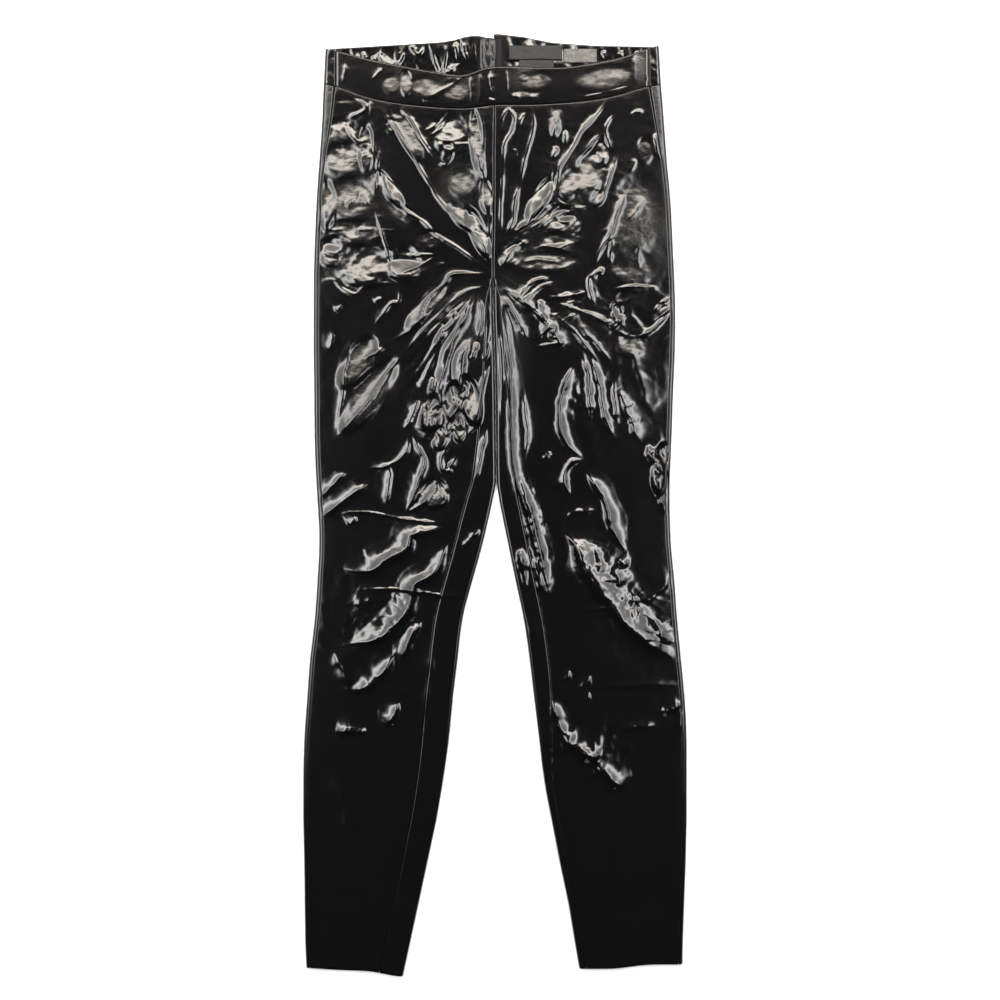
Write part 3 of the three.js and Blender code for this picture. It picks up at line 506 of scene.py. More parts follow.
SHINS = [
    ([(330, 770), (350, 800), (352, 850)], 0.8, 9.0),
    ([(400, 780), (388, 830), (380, 880)], 0.8, 9.0),
    ([(340, 905), (372, 918), (392, 940)], 0.6, 6.0),
    ([(640, 800), (625, 850), (628, 905)], 0.8, 9.0),
    ([(590, 830), (600, 880), (600, 930)], 0.7, 9.0),
    ([(600, 915), (640, 925), (672, 912)], 0.6, 6.0),
]
FRONT_CREASES = HIP_RIGHT + CROTCH_RIGHT + KNEE_RIGHT + HIP_LEFT + THIGH_LEFT + KNEE_LEFT + SHINS

# Creases of the front waistband
BAND_CREASES = [
    ([(371, 79), (382, 67)], 0.45, 1.6),
    ([(462, 77), (442, 88), (424, 99)], 0.5, 2.2),
    ([(422, 98), (433, 104)], 0.4, 1.6),
    ([(491, 70), (493, 84), (496, 97)], 0.5, 2.2),
    ([(507, 68), (508, 94)], 0.3, 1.3),
    ([(469, 74), (471, 104)], 0.3, 2.2),
    ([(479, 72), (478, 106)], 0.35, 2.6),
    ([(488, 98), (498, 102)], 0.4, 1.5),
    ([(509, 98), (516, 95), (523, 100)], 0.4, 1.5),
    ([(529, 99), (540, 96)], 0.35, 1.5),
    ([(580, 97), (606, 91), (631, 85)], 0.5, 1.5),
    ([(637, 54), (635, 82)], 0.4, 2.6),
    ([(646, 78), (653, 75)], 0.5, 1.6),
    ([(345, 62), (341, 84)], 0.35, 2.4),
]

# Areas that lean as a whole: middle and half size in the view from above, turn in degrees, how much
# they lean towards the waist, where 1 just meets the lamp, and how much towards the viewer's right
BAND_AREAS = [
    ((391, 84), (9, 10), 0, 1.35, 0.0),
    ((406, 83), (6, 13), 0, 1.7, 0.0),
    ((425, 87), (14, 11), -10, 1.25, 0.0),
    ((455, 92), (13, 11), -20, 1.15, 0.0),
    ((524, 77), (5, 4), 0, 1.3, 0.0),
    ((537, 81), (16, 9), 14, 1.0, 0.0),
    ((526, 94), (15, 4), 0, 1.2, 0.0),
    ((604, 78), (28, 12), 12, 1.35, 0.0),
]
FRONT_AREAS = [
    ((402, 267), (26, 11), 0, 0.95, 0.0),
    ((478, 232), (8, 26), 22, 1.1, 0.0),
    ((566, 214), (12, 9), 0, 1.3, 0.0),
    ((337, 246), (14, 10), 0, 1.2, 0.0),
    ((398, 112), (8, 8), 0, 1.1, 0.0),
    ((342, 160), (20, 17), 0, 1.2, 0.0),
    ((343, 130), (16, 13), 0, 1.0, 0.0),
    ((326, 205), (9, 24), 0, 1.1, -0.02),
    ((352, 200), (22, 22), 0, 1.0, 0.0),
    ((352, 232), (34, 12), 0, 0.95, 0.0),
    ((366, 148), (8, 24), 0, 1.0, 0.0),
    ((409, 135), (9, 27), 27, 1.12, 0.02),
    ((389, 188), (7, 22), 36, 1.3, 0.0),
    ((403, 212), (16, 7), -35, 1.1, 0.0),
    ((390, 126), (5, 8), 0, 0.95, 0.0),
    ((450, 133), (16, 21), -12, 1.45, 0.0),
    ((447, 152), (7, 10), -12, 1.2, 0.0),
    ((462, 216), (9, 17), 45, 1.3, 0.0),
    ((463, 183), (15, 15), 0, 1.0, 0.0),
    ((476, 140), (6, 30), 5, 0.95, 0.04),
    ((361, 266), (26, 20), 0, 1.15, 0.0),
    ((330, 252), (12, 14), 0, 1.0, 0.0),
    ((430, 240), (14, 10), 0, 0.9, 0.0),
    ((589, 174), (14, 25), -12, 1.2, 0.0),
    ((570, 184), (10, 16), -20, 1.1, 0.0),
    ((592, 197), (12, 8), 0, 1.3, 0.0),
    ((600, 152), (9, 14), -10, 1.3, 0.0),
    ((555, 122), (6, 15), 0, 1.1, 0.0),
    ((541, 197), (8, 24), -32, 1.3, 0.0),
    ((558, 220), (18, 11), 25, 1.3, 0.0),
    ((512, 254), (14, 10), 40, 1.3, 0.0),
    ((560, 240), (22, 8), 8, 1.1, 0.0),
    ((545, 262), (36, 10), 0, 1.0, 0.0),
    ((645, 150), (8, 14), 0, 0.8, 0.0),
    ((634, 218), (24, 44), -8, 0.45, 0.02),
    ((630, 268), (22, 20), 0, 0.75, 0.015),
    ((636, 287), (22, 5), 0, 1.3, 0.0),
    ((632, 345), (16, 12), 0, 0.9, 0.05),
    ((616, 316), (7, 12), -15, 1.15, 0.04),
    ((426, 305), (8, 28), -40, 1.0, -0.04),
    ((368, 396), (15, 42), -36, 0.7, -0.03),
    ((434, 494), (14, 15), 0, 0.95, -0.03),
    ((662, 468), (10, 24), -8, 1.25, 0.04),
    ((470, 400), (10, 24), 12, 1.1, -0.05),
    ((432, 414), (8, 17), -14, 0.95, 0.0),
    ((452, 400), (8, 18), -8, 1.0, 0.0),
    ((460, 426), (7, 15), -6, 0.95, 0.0),
    ((440, 438), (7, 12), -10, 0.9, 0.0),
    ((357, 362), (13, 28), -32, 0.85, 0.0),
    ((404, 264), (16, 18), 0, 1.05, 0.0),
    ((486, 196), (7, 17), 8, 1.15, 0.0),
    ((568, 224), (14, 11), 20, 1.3, 0.0),
]

# Areas where fine crinkles blur the shine: middle, half size, turn and strength
DULLED = [
    ((402, 267), (30, 14), 0, 0.7),
    ((508, 350), (24, 90), 0, 0.9),
    ((468, 325), (28, 44), 0, 0.8),
    ((590, 325), (50, 30), 0, 0.5),
    ((352, 195), (38, 62), 0, 0.8),
    ((350, 262), (40, 26), 0, 0.7),
    ((457, 188), (22, 30), 0, 1.0),
    ((452, 132), (16, 22), 0, 0.15),
    ((345, 160), (18, 14), 0, 0.2),
    ((409, 135), (9, 27), 27, 1.0),
    ((392, 205), (9, 24), 30, 1.0),
    ((478, 160), (9, 70), 4, 0.8),
    ((583, 182), (30, 34), 0, 0.8),
    ((548, 228), (42, 24), 10, 0.6),
    ((540, 258), (44, 16), 0, 0.8),
    ((642, 228), (34, 66), 0, 1.0),
    ((634, 345), (22, 16), 0, 0.9),
    ((555, 122), (7, 15), 0, 1.0),
    ((368, 396), (19, 46), -36, 1.0),
    ((358, 362), (18, 32), -32, 1.0),
    ((434, 494), (15, 16), 0, 1.0),
    ((428, 304), (10, 38), -40, 1.0),
    ((448, 412), (36, 34), 0, 0.85),
    ((470, 355), (26, 30), 0, 0.4),
    ((668, 470), (16, 36), 0, 0.7),
    ((635, 410), (24, 34), 0, 0.5),
    ((640, 620), (60, 46), 40, 0.35),
]
BAND_DULLED = [
    ((398, 84), (18, 14), 0, 0.8),
    ((425, 86), (16, 12), 0, 0.8),
    ((456, 90), (16, 12), -20, 0.8),
    ((527, 80), (18, 16), 0, 0.7),
    ((605, 78), (31, 15), 12, 0.8),
    ((640, 68), (8, 18), 0, 0.9),
]
BACK_AREAS = [
    ((534, 42), (16, 7), 5, 1.7, 0.0),
    ((514, 63), (6, 5), 0, 1.6, 0.0),
    ((412, 54), (4, 8), 20, 1.9, 0.0),
]
BACK_CREASES = [
    ([(383, 45), (380, 53), (385, 61), (393, 64), (400, 59), (402, 50), (397, 45)], 0.9, 1.9),
    ([(430, 42), (436, 60), (441, 71), (444, 58), (446, 44)], 0.9, 1.9),
    ([(456, 40), (458, 50), (459, 60)], 0.9, 2.2),
    ([(463, 39), (466, 48), (468, 59)], 0.9, 2.4),
    ([(474, 38), (476, 54), (479, 68)], 0.8, 1.7),
    ([(414, 43), (412, 47), (418, 52), (424, 46)], 0.7, 1.8),
    ([(426, 66), (434, 71), (446, 70), (456, 64), (462, 62)], 0.7, 1.8),
    ([(352, 57), (360, 55)], 0.6, 1.7),
    ([(363, 50), (367, 59)], 0.7, 1.8),
    ([(372, 55), (377, 60)], 0.5, 1.7),
    ([(604, 49), (608, 58)], 0.7, 2.0),
    ([(620, 50), (625, 57)], 0.7, 2.0),
    ([(636, 50), (640, 56)], 0.6, 1.8),
]

# Fine ridges that run out like a fan from the crotch: middle, half size and height
FAN_MIDDLE_PX = (491, 268)
FANS = [
    ((438, 392), (32, 58), 1.5),
    ((446, 416), (26, 30), 1.1),
    ((462, 330), (24, 34), 0.8),
    ((455, 460), (26, 40), 0.7),
    ((508, 345), (14, 60), 0.8),
    ((590, 400), (34, 50), 0.7),
    ((400, 320), (30, 26), 0.3),
]

# Where the small waves between the creases are strongest: middle and half size in the view from
# above, and their share
CRUMPLED = [
    ((592, 556), (15, 18), 1.9),
    ((611, 580), (15, 18), 1.9),
    ((634, 606), (15, 18), 1.9),
    ((658, 634), (15, 18), 1.9),
    ((592, 754), (32, 22), 1.6),
    ((530, 520), (18, 60), 0.5),
    ((666, 466), (18, 26), 1.6),
    ((390, 620), (22, 20), 1.2),
    ((345, 150), (34, 50), 0.5),
    ((450, 135), (26, 34), 0.6),
    ((362, 262), (40, 36), 0.8),
    ((590, 175), (40, 45), 0.5),
    ((530, 245), (45, 25), 0.7),
    ((572, 315), (42, 28), 1.6),
    ((443, 405), (30, 38), 1.3),
    ((440, 500), (40, 40), 0.6),
    ((600, 400), (50, 50), 0.7),
    ((640, 310), (40, 30), 0.9),
    ((370, 620), (46, 50), 0.7),
    ((640, 620), (40, 50), 0.7),
    ((570, 730), (50, 40), 0.6),
    ((525, 560), (24, 50), 0.8),
]
CALM = 0.22  # share of the waves elsewhere above the knees
SHIN_CALM = 0.1  # share of the waves on the shins
KNEE_PX = (600, 800)  # rows between which the waves die down
BAND_LEVEL = 400.0  # where the waistbands' and the legs' unevenness meets the lamp
HIP_LEVEL = 280.0


def curve_points(points, step=2.5):
    """A smooth line through a few points, in millimetres."""
    p = in_mm(points)
    if len(p) == 2:
        count = max(2, int(np.hypot(*(p[1] - p[0])) / step))
        return mix(p[0], p[1], np.linspace(0, 1, count + 1)[:, None])
    ends = np.vstack([2 * p[0] - p[1], p, 2 * p[-1] - p[-2]])
    out = []
    for a, b, c, d in zip(ends, ends[1:], ends[2:], ends[3:]):
        count = max(2, int(np.hypot(*(c - b)) / step))
        t = np.linspace(0, 1, count, endpoint=False)[:, None]
        out.append(
            b + 0.5 * t * (c - a + t * (2 * a - 5 * b + 4 * c - d + t * (3 * (b - c) + d - a)))
        )
    return np.vstack([*out, p[-1:]])


CREST = 0.8  # how far a crease's crest lies behind its line, in half widths
CREASE_REACH = 3.4  # how far a crease reaches to each side, in half widths
UPRIGHT = 0.12  # a crease whose flank turns less than this to the waist is lit on its outer side


def fold_profile(t):
    """Section of a crease: a steep back, a sharp crest and a long hollow lit flank."""
    from_crest = t + CREST
    reach = np.where(from_crest < 0, 0.75, 1.5)
    softened = np.sqrt((from_crest / reach) ** 2 + 0.03) - 0.173
    return np.exp(-1.25 * softened) * (1 - smoothstep(np.abs(t), 2.2, 3.2))


def crease_relief(creases, x, y, mirrored=False):
    """Height that a list of creases adds at each point, in millimetres."""
    flat_x, flat_y = x.ravel(), y.ravel()
    total = np.zeros(flat_x.shape)
    wobble = Waves(3)
    for number, (points, height, width) in enumerate(creases):
        line = curve_points(points)
        if mirrored:
            line = line * [-1, 1]
        run = line[-1] - line[0]
        run /= np.hypot(*run) + 1e-9
        lit = np.array([-run[1], run[0]])
        upright = abs(lit[1]) <= UPRIGHT
        outwards = lit[0] * line[:, 0].mean() > 0
        lit *= 1 if lit[1] > UPRIGHT or (upright and outwards) else -1
        reach = CREASE_REACH * width
        low, high = line.min(0) - reach, line.max(0) + reach
        near = np.flatnonzero(
            (flat_x > low[0]) & (flat_x < high[0]) & (flat_y > low[1]) & (flat_y < high[1])
        )
        if not len(near):
            continue
        px, py = flat_x[near, None], flat_y[near, None]
        a, step = line[:-1], np.diff(line, axis=0)
        length2 = (step**2).sum(1)
        t = clamp01(((px - a[:, 0]) * step[:, 0] + (py - a[:, 1]) * step[:, 1]) / length2)
        dx, dy = px - a[:, 0] - t * step[:, 0], py - a[:, 1] - t * step[:, 1]
        away2 = dx * dx + dy * dy
        best = away2.argmin(1)
        rows = np.arange(len(near))
        sign = np.sign(dx[rows, best] * lit[0] + dy[rows, best] * lit[1])
        distance = np.sqrt(away2[rows, best]) * sign
        place = (best + t[rows, best]) / len(step)
        uneven = 1 + 0.3 * wobble(place * 5 + number * 7.3, number * 1.7)
        local = width * (1 + 0.25 * wobble(place * 4 + number * 3.1, number * 2.9 + 40))
        taper = smoothstep(np.minimum(place, 1 - place), -0.04, 0.3)
        size = max(8.0, 2.6 * width)
        sway = 0.16 * wobble(flat_x[near] / size + number, flat_y[near] / size)
        across = distance / (local * (0.45 + 0.55 * taper)) + sway
        total[near] += height * uneven * taper * fold_profile(across)
    return total.reshape(x.shape)


def window_of(middle, half, x, y, turn=0.0, power=2.0):
    """1 inside a rounded area of the view from above, falling softly to 0 outside it."""
    m = in_mm([middle])[0]
    angle = math.radians(turn)
    dx, dy = x - m[0], y - m[1]
    u = (dx * math.cos(angle) + dy * math.sin(angle)) / (half[0] * PIXEL)
    v = (dy * math.cos(angle) - dx * math.sin(angle)) / (half[1] * PIXEL)
    return np.exp(-((u * u + v * v) ** power))


def lamp_slope(y):
    """The slope with which cloth at a height y along the leg mirrors the lamp's edge to the camera."""
    to_lamp = math.atan((DARK_TOP - y * MM) / PANEL_HEIGHT)
    to_camera = math.atan(y * MM / CAMERA_HEIGHT)
    return math.tan((to_lamp - to_camera) / 2)


def leaning(areas, x, y, seed):
    """Height of the areas that lean as a whole, each a little uneven so that it shines in blotches."""
    total, cover = np.zeros_like(x), np.zeros_like(x)
    for middle, half, turn, to_lamp, to_right in areas:
        m = in_mm([middle])[0]
        plane = -to_lamp * lamp_slope(m[1]) * (y - m[1]) - to_right * (x - m[0])
        window = window_of(middle, half, x, y, turn, 4.0)
        total += plane * window
        cover = np.maximum(cover, window)
    blotch = Waves(seed)
    uneven = 1.3 * blotch(x / 6.0, y / 9.5) + 0.55 * blotch(x / 3.2 + 40, y / 4.6)
    level = BAND_LEVEL if y.min() > BAND_LEVEL - 20 else HIP_LEVEL
    return total + cover * uneven * lamp_slope(level)


def fans(x, y, seed):
    """Fine ridges that run out from the crotch."""
    m = in_mm([FAN_MIDDLE_PX])[0]
    angle = np.arctan2(x - m[0], m[1] - y)
    radius = np.hypot(x - m[0], y - m[1])
    ripple = Waves(seed)
    fine = ripple(angle * 13 + 1.2 * ripple(radius / 60 + 7, angle * 3), radius / 42)
    coarse = ripple(angle * 6 + 20, radius / 60)
    share = sum(h * window_of(m_px, half, x, y) for m_px, half, h in FANS)
    return (fine + 0.8 * coarse) * share


def dulled(x, y, areas):
    """How much the film's shine is blurred by crinkles too fine to model."""
    share = np.zeros_like(x)
    for middle, half, turn, strength in areas:
        share = np.maximum(share, strength * window_of(middle, half, x, y, turn, 1.6))
    return share


def crumple_share(x, y):
    """How strong the small waves are at each point."""
    knee = in_mm([(0, KNEE_PX[0]), (0, KNEE_PX[1])])[:, 1]
    share = mix(SHIN_CALM, CALM, smoothstep(y, knee[1], knee[0]))
    for middle, half, strength in CRUMPLED:
        m = in_mm([middle])[0]
        d2 = ((x - m[0]) / (half[0] * PIXEL)) ** 2 + ((y - m[1]) / (half[1] * PIXEL)) ** 2
        share = share + strength * np.exp(-d2)
    return share


def small_waves(x, y, seed):
    """Soft waves of several sizes, bent by a larger one so that they don't look even."""
    big, mid, fine, warp = (Waves(seed + k) for k in range(4))
    wx = x + 9 * warp(x / 34, y / 34)
    wy = y + 9 * warp(x / 34 + 50, y / 34)
    folds = 1 - 2 * np.abs(mid(wx / 21, wy / 15 + 9))
    return (
        0.55 * big(wx / 34, wy / 26)
        + 0.30 * folds
        + 0.22 * mid(wx / 11, wy / 8)
        + 0.085 * fine(wx / 5.2, wy / 3.8)
    )


def zip_rise(x, y):
    """How far the back lies off the floor over the zip."""
    across = 1 - smoothstep(np.abs(x - ZIP_X), 5, 26)
    return 1.6 * across * smoothstep(y, ZIP_BOTTOM - 32, ZIP_BOTTOM - 6)


def distances(side, x, y):
    """Distance in from the inner edge or the crotch, and in from the outer edge."""
    below = (x - side.inner(np.minimum(y, CROTCH_Y))) * side.direction
    past = np.maximum(0, y - CROTCH_Y)
    from_crotch = np.hypot(np.maximum((x - CROTCH_X) * side.direction, 0), past)
    slit = np.where(y > CROTCH_Y, from_crotch, np.maximum(below, 0))
    return slit, np.maximum((side.outer(y) - x) * side.direction, 0)


def edge_lift(distance):
    """Round of a folded edge: 0 at the edge and 1 an edge radius in from it."""
    share = 1 - np.clip(distance, 0, EDGE_RADIUS) / EDGE_RADIUS
    return np.sqrt(np.maximum(0, 1 - share * share))


SEAM_HALF = 1.2  # how far from a seam its edge rolls down
SEAM_DROP = 0.08


def seam_roll(distance):
    """The roll-down of a panel at its sewn edge, with a soft ridge over the allowance beside it."""
    near = np.exp(-((distance / SEAM_HALF) ** 2))
    beside = np.exp(-(((distance - 5.5) / 2.8) ** 2))
    return 0.05 * beside - SEAM_DROP * near


def front_surface(side, x, y, cloth):
    """Height of the upper face."""
    slit, edge = distances(side, x, y)
    lift = EDGE_RADIUS * np.minimum(edge_lift(slit), edge_lift(edge))
    depth = np.minimum(slit, edge)
    puff = 0.3 * (1 - np.exp(-np.maximum(depth - 1, 0) / 11))
    fade = smoothstep(depth, 1.2, 11)
    relief = crease_relief(FRONT_CREASES, x, y) * cloth.crease_height
    dents = Waves(cloth.seed + 5)
    rough = 0.3 * dents(x / 9 + 11, y / 7.5) + 0.16 * dents(x / 4.8, y / 4.4 + 21)
    relief += smoothstep(np.abs(relief), 1.0, 3.6) * rough * 1.3
    relief += leaning(FRONT_AREAS, x, y, cloth.seed + 3) + fans(x, y, cloth.seed + 7)
    share = crumple_share(x, y) + 0.3 * smoothstep(np.abs(relief), 0.6, 3.5)
    waves = small_waves(x, y, cloth.seed) * share * cloth.crumple
    band = np.exp(-(((x - ZIP_X) / 20) ** 2)) * smoothstep(y, 250, 300)
    shows = np.abs(side.side_seam(y) - side.outer(y)) > 6
    seam = seam_roll(np.abs(x - side.inseam(y))) + shows * seam_roll(np.abs(x - side.side_seam(y)))
    waist = BAND_LOW(x) - y
    dents_there = 0.5 + 0.8 * dents(x / 17, 3.0)
    piping = 0.05 * dents_there * np.exp(-(((waist - 2.4) / 1.2) ** 2))
    seam *= 0.35 + 0.9 * np.maximum(0, dents(x / 40 + 70, y / 23))
    seam *= mix(0.3, 1.0, smoothstep(y, -200, 0))
    total = relief + waves + 1.3 * band
    total = 10 * np.tanh(total / 10)
    return EDGE_RADIUS + lift + puff + fade * total + fade * seam + piping


def back_surface(side, x, y, cloth):
    """Height of the lower face, flat where it rests, with soft hollows between."""
    slit, edge = distances(side, x, y)
    lift = EDGE_RADIUS * np.minimum(edge_lift(slit), edge_lift(edge))
    depth = np.minimum(slit, edge)
    relief = 0.3 * crease_relief(FRONT_CREASES, x, y + 14, mirrored=True)
    waves = 0.5 * small_waves(x, y, cloth.seed + 20) * crumple_share(-x, y)
    hollows = np.maximum(0, relief + waves - 0.12)
    hollows = 2.0 * np.tanh(hollows / 2.0)
    seam_x = np.where(y > CROTCH_Y, side.inner(y), 1e3)
    centre = 0.5 * np.exp(-((np.abs(x - seam_x) / SEAM_HALF) ** 2)) * (y < ZIP_BOTTOM - 20)
    return EDGE_RADIUS - lift + smoothstep(depth, 2, 12) * hollows + centre + zip_rise(x, y)


# Meshes


def add_object(name, data):
    """A new object, linked to the scene."""
    obj = bpy.data.objects.new(name, data)
    bpy.context.scene.collection.objects.link(obj)
    return obj


def grid_normals(grid):
    """Normals of a grid of points, one for each point."""
    along = np.gradient(grid, axis=0)
    across = np.gradient(grid, axis=1)
    normals = np.cross(across, along)
    return normals / np.maximum(np.linalg.norm(normals, axis=2, keepdims=True), 1e-9)


def shell(name, grid, thickness, outward, materials, inner_step=4):
    """A thin closed wall: its outer face through a grid of points, its inner face a wall further in.

    outward is 1 where the grid's own normals point out and -1 where they point in. The inner face
    may be coarser. materials are for the outer face, the inner face and the cut edges.
    """
    normals = grid_normals(grid) * outward
    rows, columns = grid.shape[:2]
    step = inner_step
    deep = (grid - thickness * normals)[::step, ::step]
    in_rows, in_columns = deep.shape[:2]
    outer = np.arange(rows * columns).reshape(rows, columns)
    inner = rows * columns + np.arange(in_rows * in_columns).reshape(in_rows, in_columns)

    def quads(ids, turned):
        a, b, c, d = ids[:-1, :-1], ids[:-1, 1:], ids[1:, 1:], ids[1:, :-1]
        order = (a, d, c, b) if turned else (a, b, c, d)
        return np.stack(order, axis=-1).reshape(-1, 4)

    faces = [quads(outer, outward < 0), quads(inner, outward > 0)]
    rims = []
    edges = [
        (outer[0], inner[0], False),
        (outer[-1], inner[-1], True),
        (outer[:, 0], inner[:, 0], True),
        (outer[:, -1], inner[:, -1], False),
    ]
    for out, deep_ids, turned in edges:
        for k in range(len(deep_ids) - 1):
            ring = [*out[k * step : (k + 1) * step + 1][::-1], deep_ids[k], deep_ids[k + 1]]
            rims.append(ring[::-1] if turned != (outward < 0) else ring)
    mesh = bpy.data.meshes.new(name)
    points = np.vstack([grid.reshape(-1, 3), deep.reshape(-1, 3)]) * MM
    polygons = faces[0].tolist() + faces[1].tolist() + [[int(i) for i in ring] for ring in rims]
    mesh.from_pydata(points.tolist(), [], polygons)
    slots = np.concatenate(
        [np.full(len(faces[0]), 0), np.full(len(faces[1]), 1), np.full(len(rims), 2)]
    )
    for material in materials:
        mesh.materials.append(material)
    mesh.polygons.foreach_set("material_index", slots.astype(np.int32))
    mesh.polygons.foreach_set("use_smooth", slots < 2)
    mesh.update()
    return add_object(name, mesh)


def blur_film(obj, share):
    """Store how dulled the film is at the points of the outer face."""
    values = np.zeros(len(obj.data.vertices))
    values[: share.size] = share.ravel()
    layer = obj.data.attributes.new("dulled", "FLOAT", "POINT")
    layer.data.foreach_set("value", values)


def declare(obj, node):
    """Attach a piece to the trousers' body and hide the solid that it stands for."""
    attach(obj, CLOTH_BODY)
    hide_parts(node)


def declare_cloth(obj, node, grid):
    """Attach a shell of patent leather to the body and hide its solid. Its area along its grid is
    worked out and not used.
    """
    du = np.diff(grid, axis=0)[:, :-1]
    dv = np.diff(grid, axis=1)[:-1]
    area = float(np.linalg.norm(np.cross(du, dv), axis=2).sum()) * MM * MM
    across = float(np.linalg.norm(np.diff(grid, axis=1), axis=2).sum(1).max()) * MM
    along = float(np.linalg.norm(np.diff(grid, axis=0), axis=2).sum(0).max()) * MM
    area = round(min(area, across * along), 4)
    declare(obj, node)


HEM_Y = -483.0
TOP_Y = 419.0
FRONT_COLUMNS = 133
HIP_LINE = 240.0  # above it the side strips are worn dull


def panel_rows(count, fine_share):
    """Levels of a panel's rows, finer above the calves than on the shins."""
    calf = mix(HEM_Y, TOP_Y, 0.36)
    fine = int(count * fine_share) // 4 * 4
    coarse = count - 1 - fine
    low = np.linspace(HEM_Y, calf, coarse, endpoint=False)
    return np.concatenate([low, np.linspace(calf, TOP_Y, fine + 1)])


def settle(side, place_at, top_at, levels):
    """The x and y of a panel's grid. A place across depends on y, and y on the place."""
    row = levels[:, None]
    low = 1 - smoothstep(row, HEM_Y, HEM_Y + 90)
    high = smoothstep(row, TOP_Y - 100, TOP_Y)
    y = row + np.zeros_like(place_at(row))
    for _ in range(5):
        x = place_at(y)
        y = row + low * (side.hem(x) - HEM_Y) + high * (top_at(x) - SEAM_GAP - TOP_Y)
    return place_at(y), y


def make_fronts(cloth, materials):
    """The two front legs, each a grid from the inseam to the side seam."""
    for side in SIDES:
        across = np.linspace(0, 1, FRONT_COLUMNS)[None, :]

        def place_at(y):
            return mix(side.inseam(y), side.side_seam(y), across)

        x, y = settle(side, place_at, BAND_LOW, panel_rows(681, 0.8))
        grid = np.stack([x, y, front_surface(side, x, y, cloth)], axis=-1)
        name = f"front_{side.name}"
        obj = shell(f"cloth_{name}", grid, cloth.wall, side.direction, materials)
        edge = distances(side, x, y)[1]
        waist = BAND_LOW(x) - y
        hip = smoothstep(y, HIP_LINE - 70, HIP_LINE)
        worn = 0.9 * hip * (1 - smoothstep(edge, 4, 12)) + 0.6 * (1 - smoothstep(waist, 2, 7))
        blur_film(obj, np.maximum(dulled(x, y, DULLED), worn))
        declare_cloth(obj, name, grid)


def inner_fold(side, walk, y):
    """Place across of a walk along the cloth from the middle of the fold at a leg's inner edge."""
    length = np.abs(walk)
    arc = math.pi / 2 * EDGE_RADIUS
    turned = EDGE_RADIUS - EDGE_RADIUS * np.cos(np.minimum(length, arc) / EDGE_RADIUS)
    folded = np.where(length < arc, turned, EDGE_RADIUS + length - arc)
    closed = 1 - smoothstep(y, CROTCH_Y, CROTCH_Y + 8)
    return side.inner(y) + side.direction * mix(length, folded, closed)


def make_backs(cloth, materials):
    """The two back legs, each a grid from the inseam round the inner fold, over the floor, round the
    outer edge and up to the side seam."""
    # Columns on the upper strip, the inner fold, the floor, the outer turn and the lap after it
    strip, arc, floor, turn, lap = 17, 13, 70, 13, 4
    full = math.pi / 2 * EDGE_RADIUS
    for side in SIDES:

        def walks(y):
            """Walk lengths of the strip on the upper face and of the inner fold."""
            inset = (side.inseam(y) - side.inner(y)) * side.direction - SEAM_GAP
            near = np.arccos(np.clip(1 - np.maximum(inset, 0) / EDGE_RADIUS, -1, 1)) * EDGE_RADIUS
            seam = np.where(inset > EDGE_RADIUS, inset - EDGE_RADIUS + full, near)
            seam = np.where(y < CROTCH_Y, -seam, 0.0)
            on_top = np.maximum(-full, seam + 0.4)
            first = mix(seam, on_top, np.linspace(0, 1, strip)[None, :])
            second = mix(on_top, full, np.linspace(0, 1, arc)[None, 1:])
            return np.concatenate([first, second], axis=1)

        def place_at(y):
            if y.shape[1] == 1:
                y = np.repeat(y, strip + arc + floor + turn + lap - 4, axis=1)
            head = strip + arc - 1
            y0, y1, y2, y3 = np.split(y, [head, head + floor - 1, head + floor + turn - 2], axis=1)
            w = walks(y[:, :1])
            first = inner_fold(side, w, y0)
            edge = side.outer(y1)
            flat_end = edge - side.direction * EDGE_RADIUS
            last = inner_fold(side, w[:, -1:], y1)
            second = mix(last, flat_end, np.linspace(0, 1, floor)[None, 1:])
            angles = np.linspace(0, math.pi, turn)[None, 1:]
            third = side.outer(y2) - side.direction * EDGE_RADIUS * (1 - np.sin(angles))
            seam = side.side_seam(y3) + side.direction * SEAM_GAP
            top_start = side.outer(y3) - side.direction * EDGE_RADIUS
            fourth = mix(top_start, seam, np.linspace(0, 1, lap)[None, 1:])
            return np.concatenate([first, second, third, fourth], axis=1)

        low = np.zeros(strip + arc + floor - 2)
        turns = np.concatenate([low, np.linspace(0, 1, turn)[1:], np.ones(lap - 1)])[None, :]

        def top_at(x):
            return mix(BACK_LOW(x), BAND_LOW(x), turns)

        x, y = settle(side, place_at, top_at, panel_rows(561, 0.64))
        on_top = np.zeros_like(x)
        w = walks(y[:, :1])
        on_top[:, : w.shape[1]] = w < 0
        on_top[:, len(low) :] = turns[:, len(low) :] > 0.5
        upper = front_surface(side, x, y, cloth)
        lower = back_surface(side, x, y, cloth)
        grid = np.stack([x, y, np.where(on_top > 0, upper, lower)], axis=-1)
        name = f"back_{side.name}"
        obj = shell(f"cloth_{name}", grid, cloth.wall, -side.direction, materials)
        outer_strip = smoothstep(y, HIP_LINE - 70, HIP_LINE)
        blur_film(obj, 0.9 * on_top * outer_strip * (np.abs(x) > 60))
        declare_cloth(obj, name, grid)


